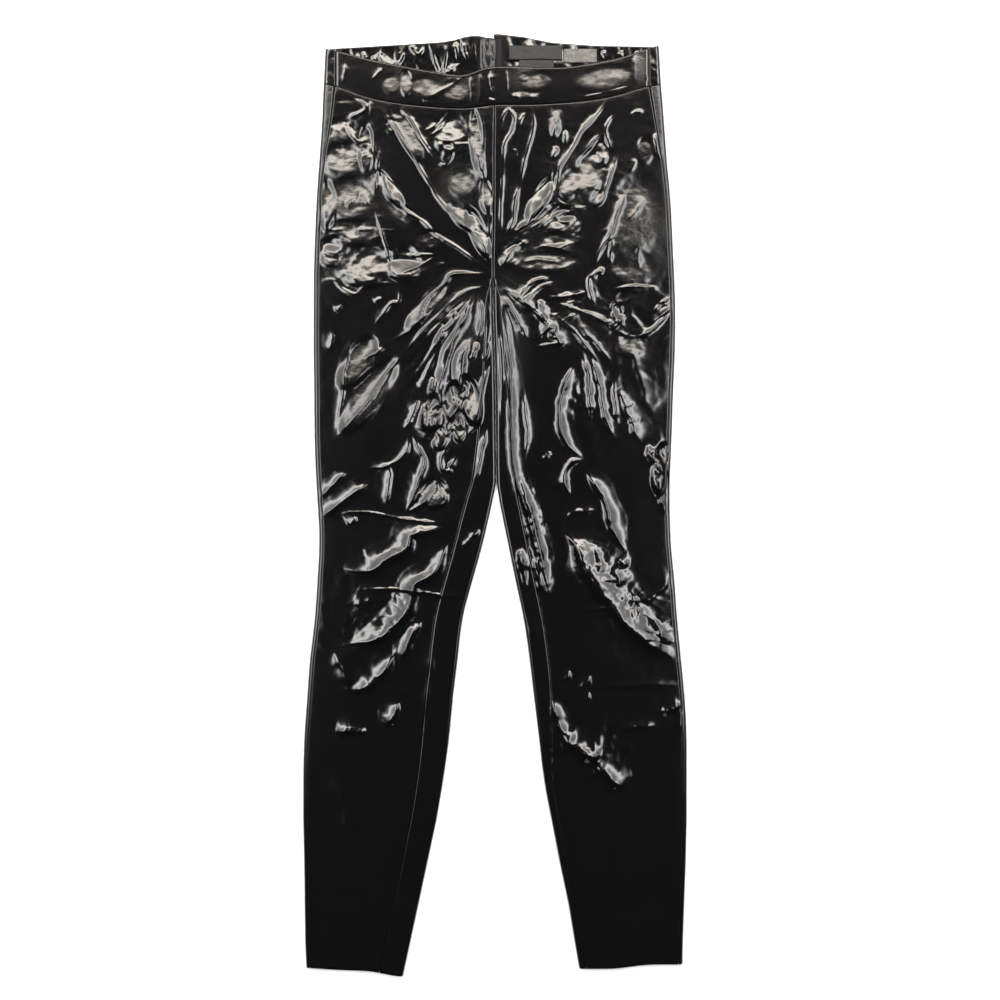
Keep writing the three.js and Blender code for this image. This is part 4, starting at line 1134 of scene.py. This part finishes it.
def make_front_band(cloth, materials):
    """The front waistband, rounded at its top edge and lying over both ends of the back ones."""
    rows, columns = 49, 401
    low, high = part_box("waistband_front")
    x, share = np.meshgrid(np.linspace(low.x / MM, high.x / MM, columns), np.linspace(0, 1, rows))
    y = mix(BAND_LOW(x), BAND_TOP(x), share)
    from_top, from_low = BAND_TOP(x) - y, y - BAND_LOW(x)
    from_end = np.minimum(x - x.min(), x.max() - x)
    radius = cloth.band_wall / 2

    def rounded(distance):
        left = 1 - np.clip(distance, 0, radius) / radius
        return radius * (1 - np.sqrt(np.maximum(0, 1 - left * left)))

    rib = 2.3 * np.exp(-(((x - ZIP_X - 2) / 28) ** 2))
    fade = smoothstep(from_end, 0, 22)
    crown = 0.12 * np.sin(math.pi * share) + 0.35 * share
    relief = crease_relief(BAND_CREASES, x, y) + leaning(BAND_AREAS, x, y, cloth.seed + 4)
    waves = small_waves(x * 0.8, y, cloth.seed + 40) * 0.12
    ends = 0.7 * np.exp(-((from_end / 1.5) ** 2))
    inside = smoothstep(np.minimum(from_top, from_low), 0.4, 5)
    z = 2 * EDGE_RADIUS + 0.4 + fade * (rib + crown) + inside * (relief + waves * fade)
    z = z - rounded(from_top) - 0.4 * rounded(from_low) - ends
    grid = np.stack([x, y, z], axis=-1)
    obj = shell("cloth_waistband_front", grid, cloth.band_wall, 1, materials)
    blur_film(obj, dulled(x, y, BAND_DULLED))
    declare_cloth(obj, "waistband_front", grid)


GATHER_PITCH = 11.4


def gathers(x, share, seed):
    """Uneven elastic gathers, pinched at the top edge and at the seam."""
    shift = Waves(seed)
    phase = 2 * math.pi * (x - ZIP_X + 3.2 * shift(x / 23, share * 0.8)) / GATHER_PITCH
    wave = (1 - np.cos(phase)) / 2
    uneven = 0.72 + 0.34 * shift(x / 13 + 9, share * 1.3)
    bubbles = shift(x / 11 + 70, share * 2.2 + 0.04 * x)
    crossing = shift(x / 6 + 30, share * 4)
    puffs = 1.3 * bubbles + 0.25 * crossing
    return np.maximum(0.75 * wave * np.maximum(uneven, 0.2) + puffs + 0.4, 0) * 0.85


def make_back_bands(cloth, materials):
    """The two gathered back waistbands, each from the zip round the side to the front band's end."""
    rows, columns, turn, lap = 81, 362, 13, 8
    for side in SIDES:
        start = ZIP_X + side.direction * 3.6
        share = np.linspace(0, 1, rows)[:, None]
        level = mix(441.0, 481.0, share)
        flat_end = side.outer(level) - side.direction * EDGE_RADIUS
        lower = mix(start, flat_end, np.linspace(0, 1, columns)[None, :])
        angles = np.linspace(0, math.pi, turn)[None, 1:]
        bend = flat_end + side.direction * EDGE_RADIUS * np.sin(angles)
        low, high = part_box("waistband_front")
        seam = (low.x if side.direction < 0 else high.x) / MM + side.direction * SEAM_GAP
        upper = mix(flat_end, seam, np.linspace(0, 1, lap)[None, 1:])
        x = np.concatenate([lower, bend, upper], axis=1)
        turns = np.concatenate([np.zeros(columns), np.linspace(0, 1, turn)[1:], np.ones(lap - 1)])
        low_y = mix(BACK_LOW(x), BAND_LOW(x), turns)
        top_y = mix(BACK_TOP(x), BAND_TOP(x), turns)
        y = mix(low_y, top_y, share)
        edge = np.maximum((side.outer(y) - x) * side.direction, 0)
        lift = EDGE_RADIUS * edge_lift(edge)
        beside = smoothstep(np.abs(x - ZIP_X), 11, 24) * smoothstep(edge, EDGE_RADIUS, 14)
        wave = gathers(x, share, cloth.seed + 60)
        fine = 0.10 * Waves(cloth.seed + 61)(x / 4.1, y / 9)
        detail = crease_relief(BACK_CREASES, x, y) + leaning(BACK_AREAS, x, y, cloth.seed + 63)
        rise = 0.5 * wave + np.abs(fine) + np.maximum(detail, -0.3) + 0.3
        clear = 1 - smoothstep(x, ZIP_X - 24, ZIP_X - 8) + smoothstep(x, 110, 122)
        tilt = 1.7 * share * clear * smoothstep(edge, 2, 12)
        under = EDGE_RADIUS - lift + beside * rise + tilt + zip_rise(x, y)
        crinkle = 0.5 * small_waves(x, y, cloth.seed + 62) * smoothstep(edge, 2, 6)
        over = EDGE_RADIUS + lift + crinkle
        z = np.where(turns > 0.5, over, under)
        grid = np.stack([x, y, z], axis=-1)
        name = f"waistband_back_{side.name}"
        wall = cloth.elastic_wall
        obj = shell(f"cloth_{name}", grid, wall, -side.direction, materials, inner_step=2)
        declare_cloth(obj, name, grid)


# Materials


def linear(hex_colour):
    """An sRGB hex colour as linear RGBA."""
    parts = [int(hex_colour[i : i + 2], 16) / 255 for i in (1, 3, 5)]
    values = [c / 12.92 if c <= 0.04045 else ((c + 0.055) / 1.055) ** 2.4 for c in parts]
    return (*values, 1.0)


WAVE_FINENESS = 6.28  # bands of a wave texture are this much finer than noise of the same scale


def new_material(name):
    """An empty material."""
    material = bpy.data.materials.new(name)
    material.use_nodes = True
    material.node_tree.nodes.clear()
    return material


def add(owner, kind, settings=None, **links):
    """Add a node to a material or a node group. settings are its own properties. links are its inputs
    by name, or by number as in _0: each a value, a node for its first output, or (node, output)."""
    tree = getattr(owner, "node_tree", owner)
    node = tree.nodes.new(f"{tree.type.title()}Node{kind}")
    for key, value in (settings or {}).items():
        setattr(node, key, value)
    for key, value in links.items():
        socket = node.inputs[int(key[1:])] if key[0] == "_" else node.inputs[key.replace("_", " ")]
        source = value if isinstance(value, tuple) else (value, 0)
        if isinstance(source[0], bpy.types.Node):
            tree.links.new(source[0].outputs[source[1]], socket)
        else:
            socket.default_value = value
    return node


def per_mm(size):
    """Scale of a texture on Object coordinates whose pattern repeats at this size in millimetres."""
    return 1 / (size * MM)


def material_and_place(name):
    """A new material and the place on the cloth that its textures use, as Object coordinates."""
    material = new_material(name)
    return material, (add(material, "TexCoord"), "Object")


def noise(m, place, size, detail):
    """Clouds of this size in millimetres."""
    return add(m, "TexNoise", Vector=place, Scale=per_mm(size), Detail=detail)


def bands(m, place, axis, thread, distortion):
    """Threads side by side along an axis, each this many millimetres wide."""
    scale = per_mm(thread) / WAVE_FINENESS
    settings = {"wave_type": "BANDS", "bands_direction": axis}
    wave = add(m, "TexWave", settings, Vector=place, Scale=scale, Distortion=distortion)
    return wave, 1


def times(m, a, b):
    """The product of two factors."""
    return add(m, "Math", {"operation": "MULTIPLY"}, _0=a, _1=b)


def remap(m, source, low, high, to_low, to_high, curve="LINEAR"):
    """A factor moved from one range to another."""
    settings = {"interpolation_type": curve}
    ends = {"From_Min": low, "From_Max": high, "To_Min": to_low, "To_Max": to_high}
    return add(m, "MapRange", settings, Value=source, **ends)


def bump(m, height, strength, depth, **below):
    """A relief of this depth in millimetres."""
    return add(m, "Bump", Height=height, Strength=strength, Distance=depth * MM, **below)


def finish(m, **inputs):
    """Give a material its surface and return it."""
    add(m, "OutputMaterial", Surface=add(m, "BsdfPrincipled", **inputs))
    return m


def patent_leather(cloth):
    """Patent leather: a black film of polyurethane on cloth. It mirrors like lacquer, with a faint
    orange peel and lines where the backing's knit prints through."""
    m, place = material_and_place("patent_leather_coating")
    stretched = add(m, "Mapping", Vector=place, Scale=(1.0, 1.9, 1.0), Rotation=(0, 0, 0.04))
    dulled_share = (add(m, "Attribute", {"attribute_name": "dulled"}), 2)
    lines = remap(m, noise(m, place, 60, 2.0), 0.3, 0.6, 0.0, 1.0, "SMOOTHSTEP")
    share = add(m, "Math", {"operation": "MULTIPLY_ADD"}, _0=dulled_share, _1=1.2, _2=0.25)
    knit = times(m, noise(m, stretched, 5.0, 4.0), times(m, share, lines))
    peel = bump(m, noise(m, place, 2.4, 2.0), 1.0, 0.012)
    relief = bump(m, knit, 1.0, 0.1, Normal=peel)
    return finish(
        m,
        Base_Color=linear(cloth.patent_colour),
        Roughness=remap(m, noise(m, place, 18, 6.0), 0.35, 0.7, 0.2, 0.25),
        IOR=1.5,
        Specular_IOR_Level=0.06,
        Coat_Weight=1.0,
        Coat_Roughness=remap(m, dulled_share, 0.0, 1.0, 0.08, 0.22),
        Coat_IOR=1.5,
        Normal=relief,
        Coat_Normal=relief,
    )


def knitted_backing(cloth):
    """Polyester knit on the back of the coating: matt, with fine ribs a stitch apart."""
    m, place = material_and_place("knitted_backing")
    ribs = bump(m, bands(m, place, "X", 0.9, 1.2), 0.6, 0.15)
    return finish(
        m,
        Base_Color=linear(cloth.backing_colour),
        Roughness=0.9,
        Sheen_Weight=0.25,
        Sheen_Roughness=0.5,
        Normal=bump(m, noise(m, place, 0.7, 4.0), 0.5, 0.1, Normal=ribs),
    )


def woven(name, colour, thread, relief, roughness, sheen):
    """Close-woven ribbon or tape: threads over and under each other, matt on a tape and smooth
    enough on satin to catch the lamp in streaks. Its colour holds painted shade, darker in the hollows
    between the threads, and blotches of tone that also paint in the satin's mottled sheen. thread and
    relief are in millimetres."""
    m, place = material_and_place(name)
    weave = times(m, bands(m, place, "X", thread, 0.4), bands(m, place, "Y", thread, 0.4))
    # painted shade: the colour is darker where the weave's relief is low
    thread_shade = remap(m, weave, 0.0, 1.0, 0.65, 1.2)
    # random blotches of tone, which also paint in the satin's mottled sheen
    blotches_and_sheen = remap(m, noise(m, place, 3.5, 4.0), 0.3, 0.7, 0.6, 1.45)
    settings = {"data_type": "RGBA", "blend_type": "MULTIPLY"}
    shade = add(m, "Mix", settings, _0=1.0, _6=linear(colour), _7=times(m, thread_shade, blotches_and_sheen))
    return finish(
        m,
        Base_Color=(shade, 2),
        Roughness=roughness,
        Specular_IOR_Level=0.3,
        Sheen_Weight=sheen,
        Normal=bump(m, weave, 0.7, relief),
    )


def polyester_thread(trim):
    """Twisted polyester sewing thread: dark with a slight sheen."""
    m, place = material_and_place("polyester_thread")
    return finish(
        m,
        Base_Color=linear(trim.thread_colour),
        Roughness=0.5,
        Sheen_Weight=0.1,
        Normal=bump(m, noise(m, place, 0.4, 2.0), 0.5, 0.05),
    )


def lacquered_metal(trim):
    """Die-cast zinc under black lacquer, with fine scratches in it."""
    m, place = material_and_place("black_lacquered_zinc")
    scratches = noise(m, place, 0.8, 5.0)
    return finish(
        m,
        Base_Color=linear(trim.metal_colour),
        Metallic=1.0,
        Roughness=remap(m, scratches, 0.3, 0.7, 0.22, 0.4),
        Normal=bump(m, scratches, 0.3, 0.03),
    )


# Repeated small things


def row_of_beads(tree, start, end, pitch, size, turn=0.0):
    """Beads on a straight line from start to end, in millimetres."""
    start, end = np.array(start) * MM, np.array(end) * MM
    count = max(2, int(np.linalg.norm(end - start) / (pitch * MM)))
    ends = {"Start_Location": start, "Offset": end}
    line = add(tree, "MeshLine", {"mode": "END_POINTS"}, Count=count, **ends)
    bead = add(tree, "SetShadeSmooth", _0=add(tree, "MeshUVSphere", Segments=8, Rings=6, Radius=0.5))
    place = {"Scale": np.array(size) * MM, "Rotation": (0, 0, turn)}
    return add(tree, "InstanceOnPoints", Points=line, Instance=bead, **place)


def repeat(name, rows, material, replaced=()):
    """Grow rows of beads with a Geometry Nodes tree and keep the result as a plain mesh."""
    tree = bpy.data.node_groups.new(name, "GeometryNodeTree")
    tree.interface.new_socket("Geometry", in_out="OUTPUT", socket_type="NodeSocketGeometry")
    joined = add(tree, "JoinGeometry")
    for row in rows:
        tree.links.new(row_of_beads(tree, *row).outputs[0], joined.inputs[0])
    real = add(tree, "RealizeInstances", Geometry=joined)
    coloured = add(tree, "SetMaterial", Geometry=real, Material=material)
    tree.links.new(coloured.outputs[0], tree.nodes.new("NodeGroupOutput").inputs[0])
    holder = add_object(name + "_tree", bpy.data.meshes.new(name + "_tree"))
    holder.modifiers.new("grow", "NODES").node_group = tree
    depsgraph = bpy.context.evaluated_depsgraph_get()
    mesh = bpy.data.meshes.new_from_object(holder.evaluated_get(depsgraph))
    bpy.data.objects.remove(holder)
    mesh.name = name
    obj = add_object(name, mesh)
    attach(obj, CLOTH_BODY)
    if replaced:
        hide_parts(*replaced)


GUARD_TOP = 7.0  # how far below its top end the guard starts to round off


def make_guard(trim, materials):
    """The satin strip behind the zip, bowed along its length and rounded at the top."""
    low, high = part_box("zip_guard")
    columns, rows = 41, 181
    left, right = low.x / MM - 0.4, high.x / MM + 1.6
    x, share = np.meshgrid(np.linspace(left, right, columns), np.linspace(0, 1, rows))
    across = 2 * (x - left) / (right - left) - 1
    top = high.y / MM + 1.2 - 3.0 * np.abs(across + 0.1) ** 3
    y = mix(low.y / MM, top, share)
    bow = 0.45 * np.cos(across * 5.2 + 0.02 * y) + 0.7 * Waves(31)(x / 4, y / 9)
    hem = 0.4 * np.exp(-(((x - right + 1.6) / 0.8) ** 2))
    rise = 1.3 * smoothstep(y, 440, 486)  # it lifts towards its free end
    grid = np.stack([x, y, high.z / MM + 0.1 + 0.6 * bow + hem + rise], axis=-1)
    obj = shell("satin_zip_guard", grid, 0.5, 1, [materials["satin"]] * 3)
    declare(obj, "zip_guard")
    foot, head, z = low.y / MM + 1, high.y / MM - GUARD_TOP, high.z / MM + 0.4
    pitch = trim.stitch_length
    size = (0.45, 0.7 * pitch, 0.4)
    seams = [((at, foot, z), (at, head, z), pitch, size) for at in (left + 1.1, right - 2.6)]
    repeat("guard_stitches", seams, materials["thread"])


# Solids that are shown as they were packed, and their materials
AS_PACKED = {
    "zip_tape_right": "tape",
    "zip_tape_left": "tape",
    "zip_slider": "metal",
    "zip_pull": "metal",
}


def make_zip(trim, materials):
    """The coil's teeth, the guard, and the materials of the parts that stay as packed."""
    low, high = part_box("zip_chain")
    middle, z = (low.x + high.x) / 2 / MM, (low.z + high.z) / 2 / MM
    bottom, top = low.y / MM, high.y / MM
    pitch = trim.tooth_pitch
    rows = []
    for offset, lean, shift in ((-0.9, 0.25, 0), (0.9, -0.25, pitch / 2)):
        foot = (middle + offset, bottom + shift + 0.7, z)
        head = (middle + offset, top - 0.7 + shift, z)
        rows.append((foot, head, pitch, (2.7, 0.95, 1.7), lean))
    repeat("zip_coil_teeth", rows, materials["metal"], ["zip_chain"])
    make_guard(trim, materials)
    for name, material in AS_PACKED.items():
        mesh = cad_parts[name].data
        mesh.materials.clear()
        mesh.materials.append(materials[material])


# Left, top, right and foot of each label in the view from above
LABELS_PX = {
    "label_main": (509, 44.5, 562, 58.7),
    "label_size": (519, 59.0, 554, 68.7),
    "label_care": (564, 48, 597, 61.5),
}


def make_labels(cloth, materials):
    """Bare ribbons a little bowed, with a row of stitches at each end."""
    bend = Waves(cloth.seed + 80)
    stitches = []
    for name, (left, top, right, foot) in LABELS_PX.items():
        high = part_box(name)[1]
        low_x, high_y = in_mm([(left, top)])[0]
        high_x, low_y = in_mm([(right, foot)])[0]
        columns = max(13, int((high_x - low_x) * 1.5) // 2 * 2 + 1)
        rows = max(9, int((high_y - low_y) * 1.5) // 2 * 2 + 1)
        x, y = np.meshgrid(np.linspace(low_x, high_x, columns), np.linspace(low_y, high_y, rows))
        edge = np.minimum(np.minimum(x - x.min(), x.max() - x), np.minimum(y - y.min(), y.max() - y))
        bow = 0.5 * bend(x / 17, y / 14) * smoothstep(edge, 0, 4)
        z = high.z / MM + bow - 0.18 * np.exp(-((edge / 0.8) ** 2))
        grid = np.stack([x, y, z], axis=-1)
        pale = name == "label_care"
        material = materials["care_label" if pale else "dark_label"]
        obj = shell(f"ribbon_{name}", grid, 0.45, 1, [material] * 3, inner_step=2)
        declare(obj, name)
        low_end, high_end, z = low_y + 0.8, high_y - 0.8, high.z / MM + 0.05
        for at in (low_x + 1.0, high_x - 1.0):
            stitches.append(((at, low_end, z), (at, high_end, z), 1.9, (0.4, 1.3, 0.35)))
    repeat("label_stitches", stitches, materials["thread"])


def panel_radiance(x, y, studio):
    """Radiance of the light panel: a dark gap over the camera, a bright rim round three of its sides
    and a dimmer wash beyond, so that level cloth is black and a slope is grey inside a bright line."""
    beyond = y - DARK_TOP
    beside = np.abs(x) - DARK_HALF
    corner = 0.35
    outside = np.hypot(np.maximum(beyond + corner, 0), np.maximum(beside + corner, 0)) - corner
    away = np.where(y > DARK_TOP - corner, outside, beside)
    sideways = smoothstep(beside - beyond, -0.5, 0.5)
    rim = mix(studio.strip_strength, studio.card_strength, sideways)
    rim = rim * smoothstep(away, 0.0, 0.12) * (1 - smoothstep(away, 0.26, 0.62))
    wash = mix(studio.window_strength, studio.wall_strength, smoothstep(away, 0.5, 1.3))
    wash = wash * smoothstep(away, 0.05, 0.4)
    sides = smoothstep(np.abs(x), DARK_HALF - 0.18, DARK_HALF - 0.05)
    top = smoothstep(y, DARK_TOP - 0.1, DARK_TOP - 0.02)
    glow = studio.glow_strength * np.maximum(sides, top)
    fade = smoothstep(y, -0.75, -0.1)
    return studio.room_strength + (rim + wash + glow) * fade


def make_light_panel(studio):
    """The panel that the film mirrors, and a lamp that only lights matt things."""
    columns, rows = 129, 113
    x, y = np.meshgrid(np.linspace(*PANEL_X, columns), np.linspace(*PANEL_Y, rows))
    grid = np.stack([x, y, np.full_like(x, PANEL_HEIGHT)], axis=-1)
    ids = np.arange(rows * columns).reshape(rows, columns)
    corners = (ids[:-1, :-1], ids[1:, :-1], ids[1:, 1:], ids[:-1, 1:])
    faces = np.stack(corners, axis=-1).reshape(-1, 4)
    mesh = bpy.data.meshes.new("light_panel")
    mesh.from_pydata(grid.reshape(-1, 3).tolist(), [], faces.tolist())
    warm, neutral = np.array(linear("#fff6ea")), np.array(linear("#fafaf8"))
    tint = smoothstep(np.abs(x) - (y - DARK_TOP), 0.3, 1.4)[..., None]
    colour = mix(warm, neutral, tint) * panel_radiance(x, y, studio)[..., None]
    colour[..., 3] = 1
    glow = mesh.color_attributes.new("glow", "FLOAT_COLOR", "POINT")
    glow.data.foreach_set("color", colour.ravel())
    silk = new_material("light_panel_silk")
    source = add(silk, "Attribute", {"attribute_name": "glow"})
    add(silk, "OutputMaterial", Surface=add(silk, "Emission", Color=source, Strength=1.0))
    mesh.materials.append(silk)
    panel = add_object("light_panel", mesh)
    panel.visible_camera = False
    fill = bpy.data.lights.new("floor_fill", "AREA")
    fill.size = 2.4
    fill.energy = studio.fill_strength * math.pi * fill.size**2
    lamp = add_object("floor_fill", fill)
    lamp.location = (0, 0, PANEL_HEIGHT - 0.05)
    lamp.visible_glossy = False


def make_studio(studio):
    """A white floor, a dim room, the light panel and the camera."""
    floor_mesh = bpy.data.meshes.new("studio_floor")
    half = FLOOR_HALF
    corners = [(-half, -half, 0), (half, -half, 0), (half, half, 0), (-half, half, 0)]
    floor_mesh.from_pydata(corners, [], [(0, 1, 2, 3)])
    add_object("studio_floor", floor_mesh)
    paper = new_material("white_paper_floor")
    colour = linear(studio.floor_colour)
    floor_mesh.materials.append(
        finish(paper, Base_Color=colour, Roughness=0.9, Specular_IOR_Level=0.1)
    )

    world = bpy.data.worlds.new("dim_room")
    world.use_nodes = True
    background = world.node_tree.nodes["Background"]
    background.inputs["Color"].default_value = linear("#c9ccd2")
    background.inputs["Strength"].default_value = studio.room_strength

    make_light_panel(studio)

    camera = bpy.data.cameras.new("camera")
    view = add_object("camera", camera)
    cloth_height = 0.008
    half_view = MIDDLE_PX * PIXEL * MM
    camera.angle = 2 * math.atan(half_view / (studio.camera_height - cloth_height))
    view.location = (
        (MIDDLE_PX - CENTRE_PX[0]) * PIXEL * MM,
        (CENTRE_PX[1] - MIDDLE_PX) * PIXEL * MM,
        studio.camera_height,
    )
    scene = bpy.context.scene
    scene.world = world
    scene.camera = view
    scene.view_settings.view_transform = "Standard"


# Operators


class TROUSERS_OT_studio(bpy.types.Operator):
    """Make the floor, the lights and the camera"""

    bl_idname = "trousers.studio"
    bl_label = "Studio"

    def execute(self, context):
        make_studio(context.scene.trousers_studio)
        return {"FINISHED"}


def cloth_materials(cloth):
    """Coating and backing, made once."""
    coating = bpy.data.materials.get("patent_leather_coating") or patent_leather(cloth)
    backing = bpy.data.materials.get("knitted_backing") or knitted_backing(cloth)
    return coating, backing


class TROUSERS_OT_fronts(bpy.types.Operator):
    """Make the two front legs"""

    bl_idname = "trousers.fronts"
    bl_label = "Front legs"

    def execute(self, context):
        cloth = context.scene.trousers_cloth
        coating, backing = cloth_materials(cloth)
        make_fronts(cloth, [coating, backing, coating])
        return {"FINISHED"}


class TROUSERS_OT_backs(bpy.types.Operator):
    """Make the two back legs"""

    bl_idname = "trousers.backs"
    bl_label = "Back legs"

    def execute(self, context):
        cloth = context.scene.trousers_cloth
        coating, backing = cloth_materials(cloth)
        make_backs(cloth, [coating, backing, coating])
        return {"FINISHED"}


class TROUSERS_OT_waistbands(bpy.types.Operator):
    """Make the front waistband and the gathered back waistbands"""

    bl_idname = "trousers.waistbands"
    bl_label = "Waistbands"

    def execute(self, context):
        cloth = context.scene.trousers_cloth
        coating, _ = cloth_materials(cloth)
        make_front_band(cloth, [coating] * 3)
        make_back_bands(cloth, [coating] * 3)
        return {"FINISHED"}


class TROUSERS_OT_zip(bpy.types.Operator):
    """Make the zip's teeth and finish its tapes, slider and pull tab"""

    bl_idname = "trousers.zip"
    bl_label = "Zip"

    def execute(self, context):
        trim = context.scene.trousers_trim
        materials = {
            "metal": lacquered_metal(trim),
            "tape": woven("woven_zip_tape", trim.tape_colour, 0.8, 0.12, 0.8, 0.03),
            "satin": woven("satin_zip_guard", trim.tape_colour, 0.5, 0.015, 0.2, 0.03),
            "thread": polyester_thread(trim),
        }
        make_zip(trim, materials)
        return {"FINISHED"}


class TROUSERS_OT_labels(bpy.types.Operator):
    """Make the bare labels inside the back waistband"""

    bl_idname = "trousers.labels"
    bl_label = "Labels"

    def execute(self, context):
        trim = context.scene.trousers_trim
        materials = {
            "dark_label": woven("satin_ribbon_dark", trim.main_label_colour, 0.5, 0.05, 0.5, 0.04),
            "care_label": woven("satin_ribbon_pale", trim.care_label_colour, 0.5, 0.08, 0.6, 0.15),
            "thread": bpy.data.materials.get("polyester_thread") or polyester_thread(trim),
        }
        make_labels(context.scene.trousers_cloth, materials)
        return {"FINISHED"}


STEPS = (
    TROUSERS_OT_studio,
    TROUSERS_OT_fronts,
    TROUSERS_OT_backs,
    TROUSERS_OT_waistbands,
    TROUSERS_OT_zip,
    TROUSERS_OT_labels,
)


class TROUSERS_PT_panel(bpy.types.Panel):
    """The steps that make the trousers, in order"""

    bl_idname = "TROUSERS_PT_panel"
    bl_label = "Trousers"
    bl_space_type = "VIEW_3D"
    bl_region_type = "UI"
    bl_category = "Trousers"

    def draw(self, context):
        for step in STEPS:
            self.layout.operator(step.bl_idname)


GROUPS = {
    "trousers_cloth": TrousersCloth,
    "trousers_trim": TrousersTrim,
    "trousers_studio": TrousersStudio,
}


def register():
    for group in GROUPS.values():
        bpy.utils.register_class(group)
    for name, group in GROUPS.items():
        setattr(bpy.types.Scene, name, bpy.props.PointerProperty(type=group))
    for step in (*STEPS, TROUSERS_PT_panel):
        bpy.utils.register_class(step)


def unregister():
    for step in reversed((*STEPS, TROUSERS_PT_panel)):
        bpy.utils.unregister_class(step)
    for name, group in GROUPS.items():
        delattr(bpy.types.Scene, name)
        bpy.utils.unregister_class(group)


def main():
    register()
    for step in STEPS:
        group, name = step.bl_idname.split(".")
        getattr(getattr(bpy.ops, group), name)()


if __name__ == "__main__":
    main()
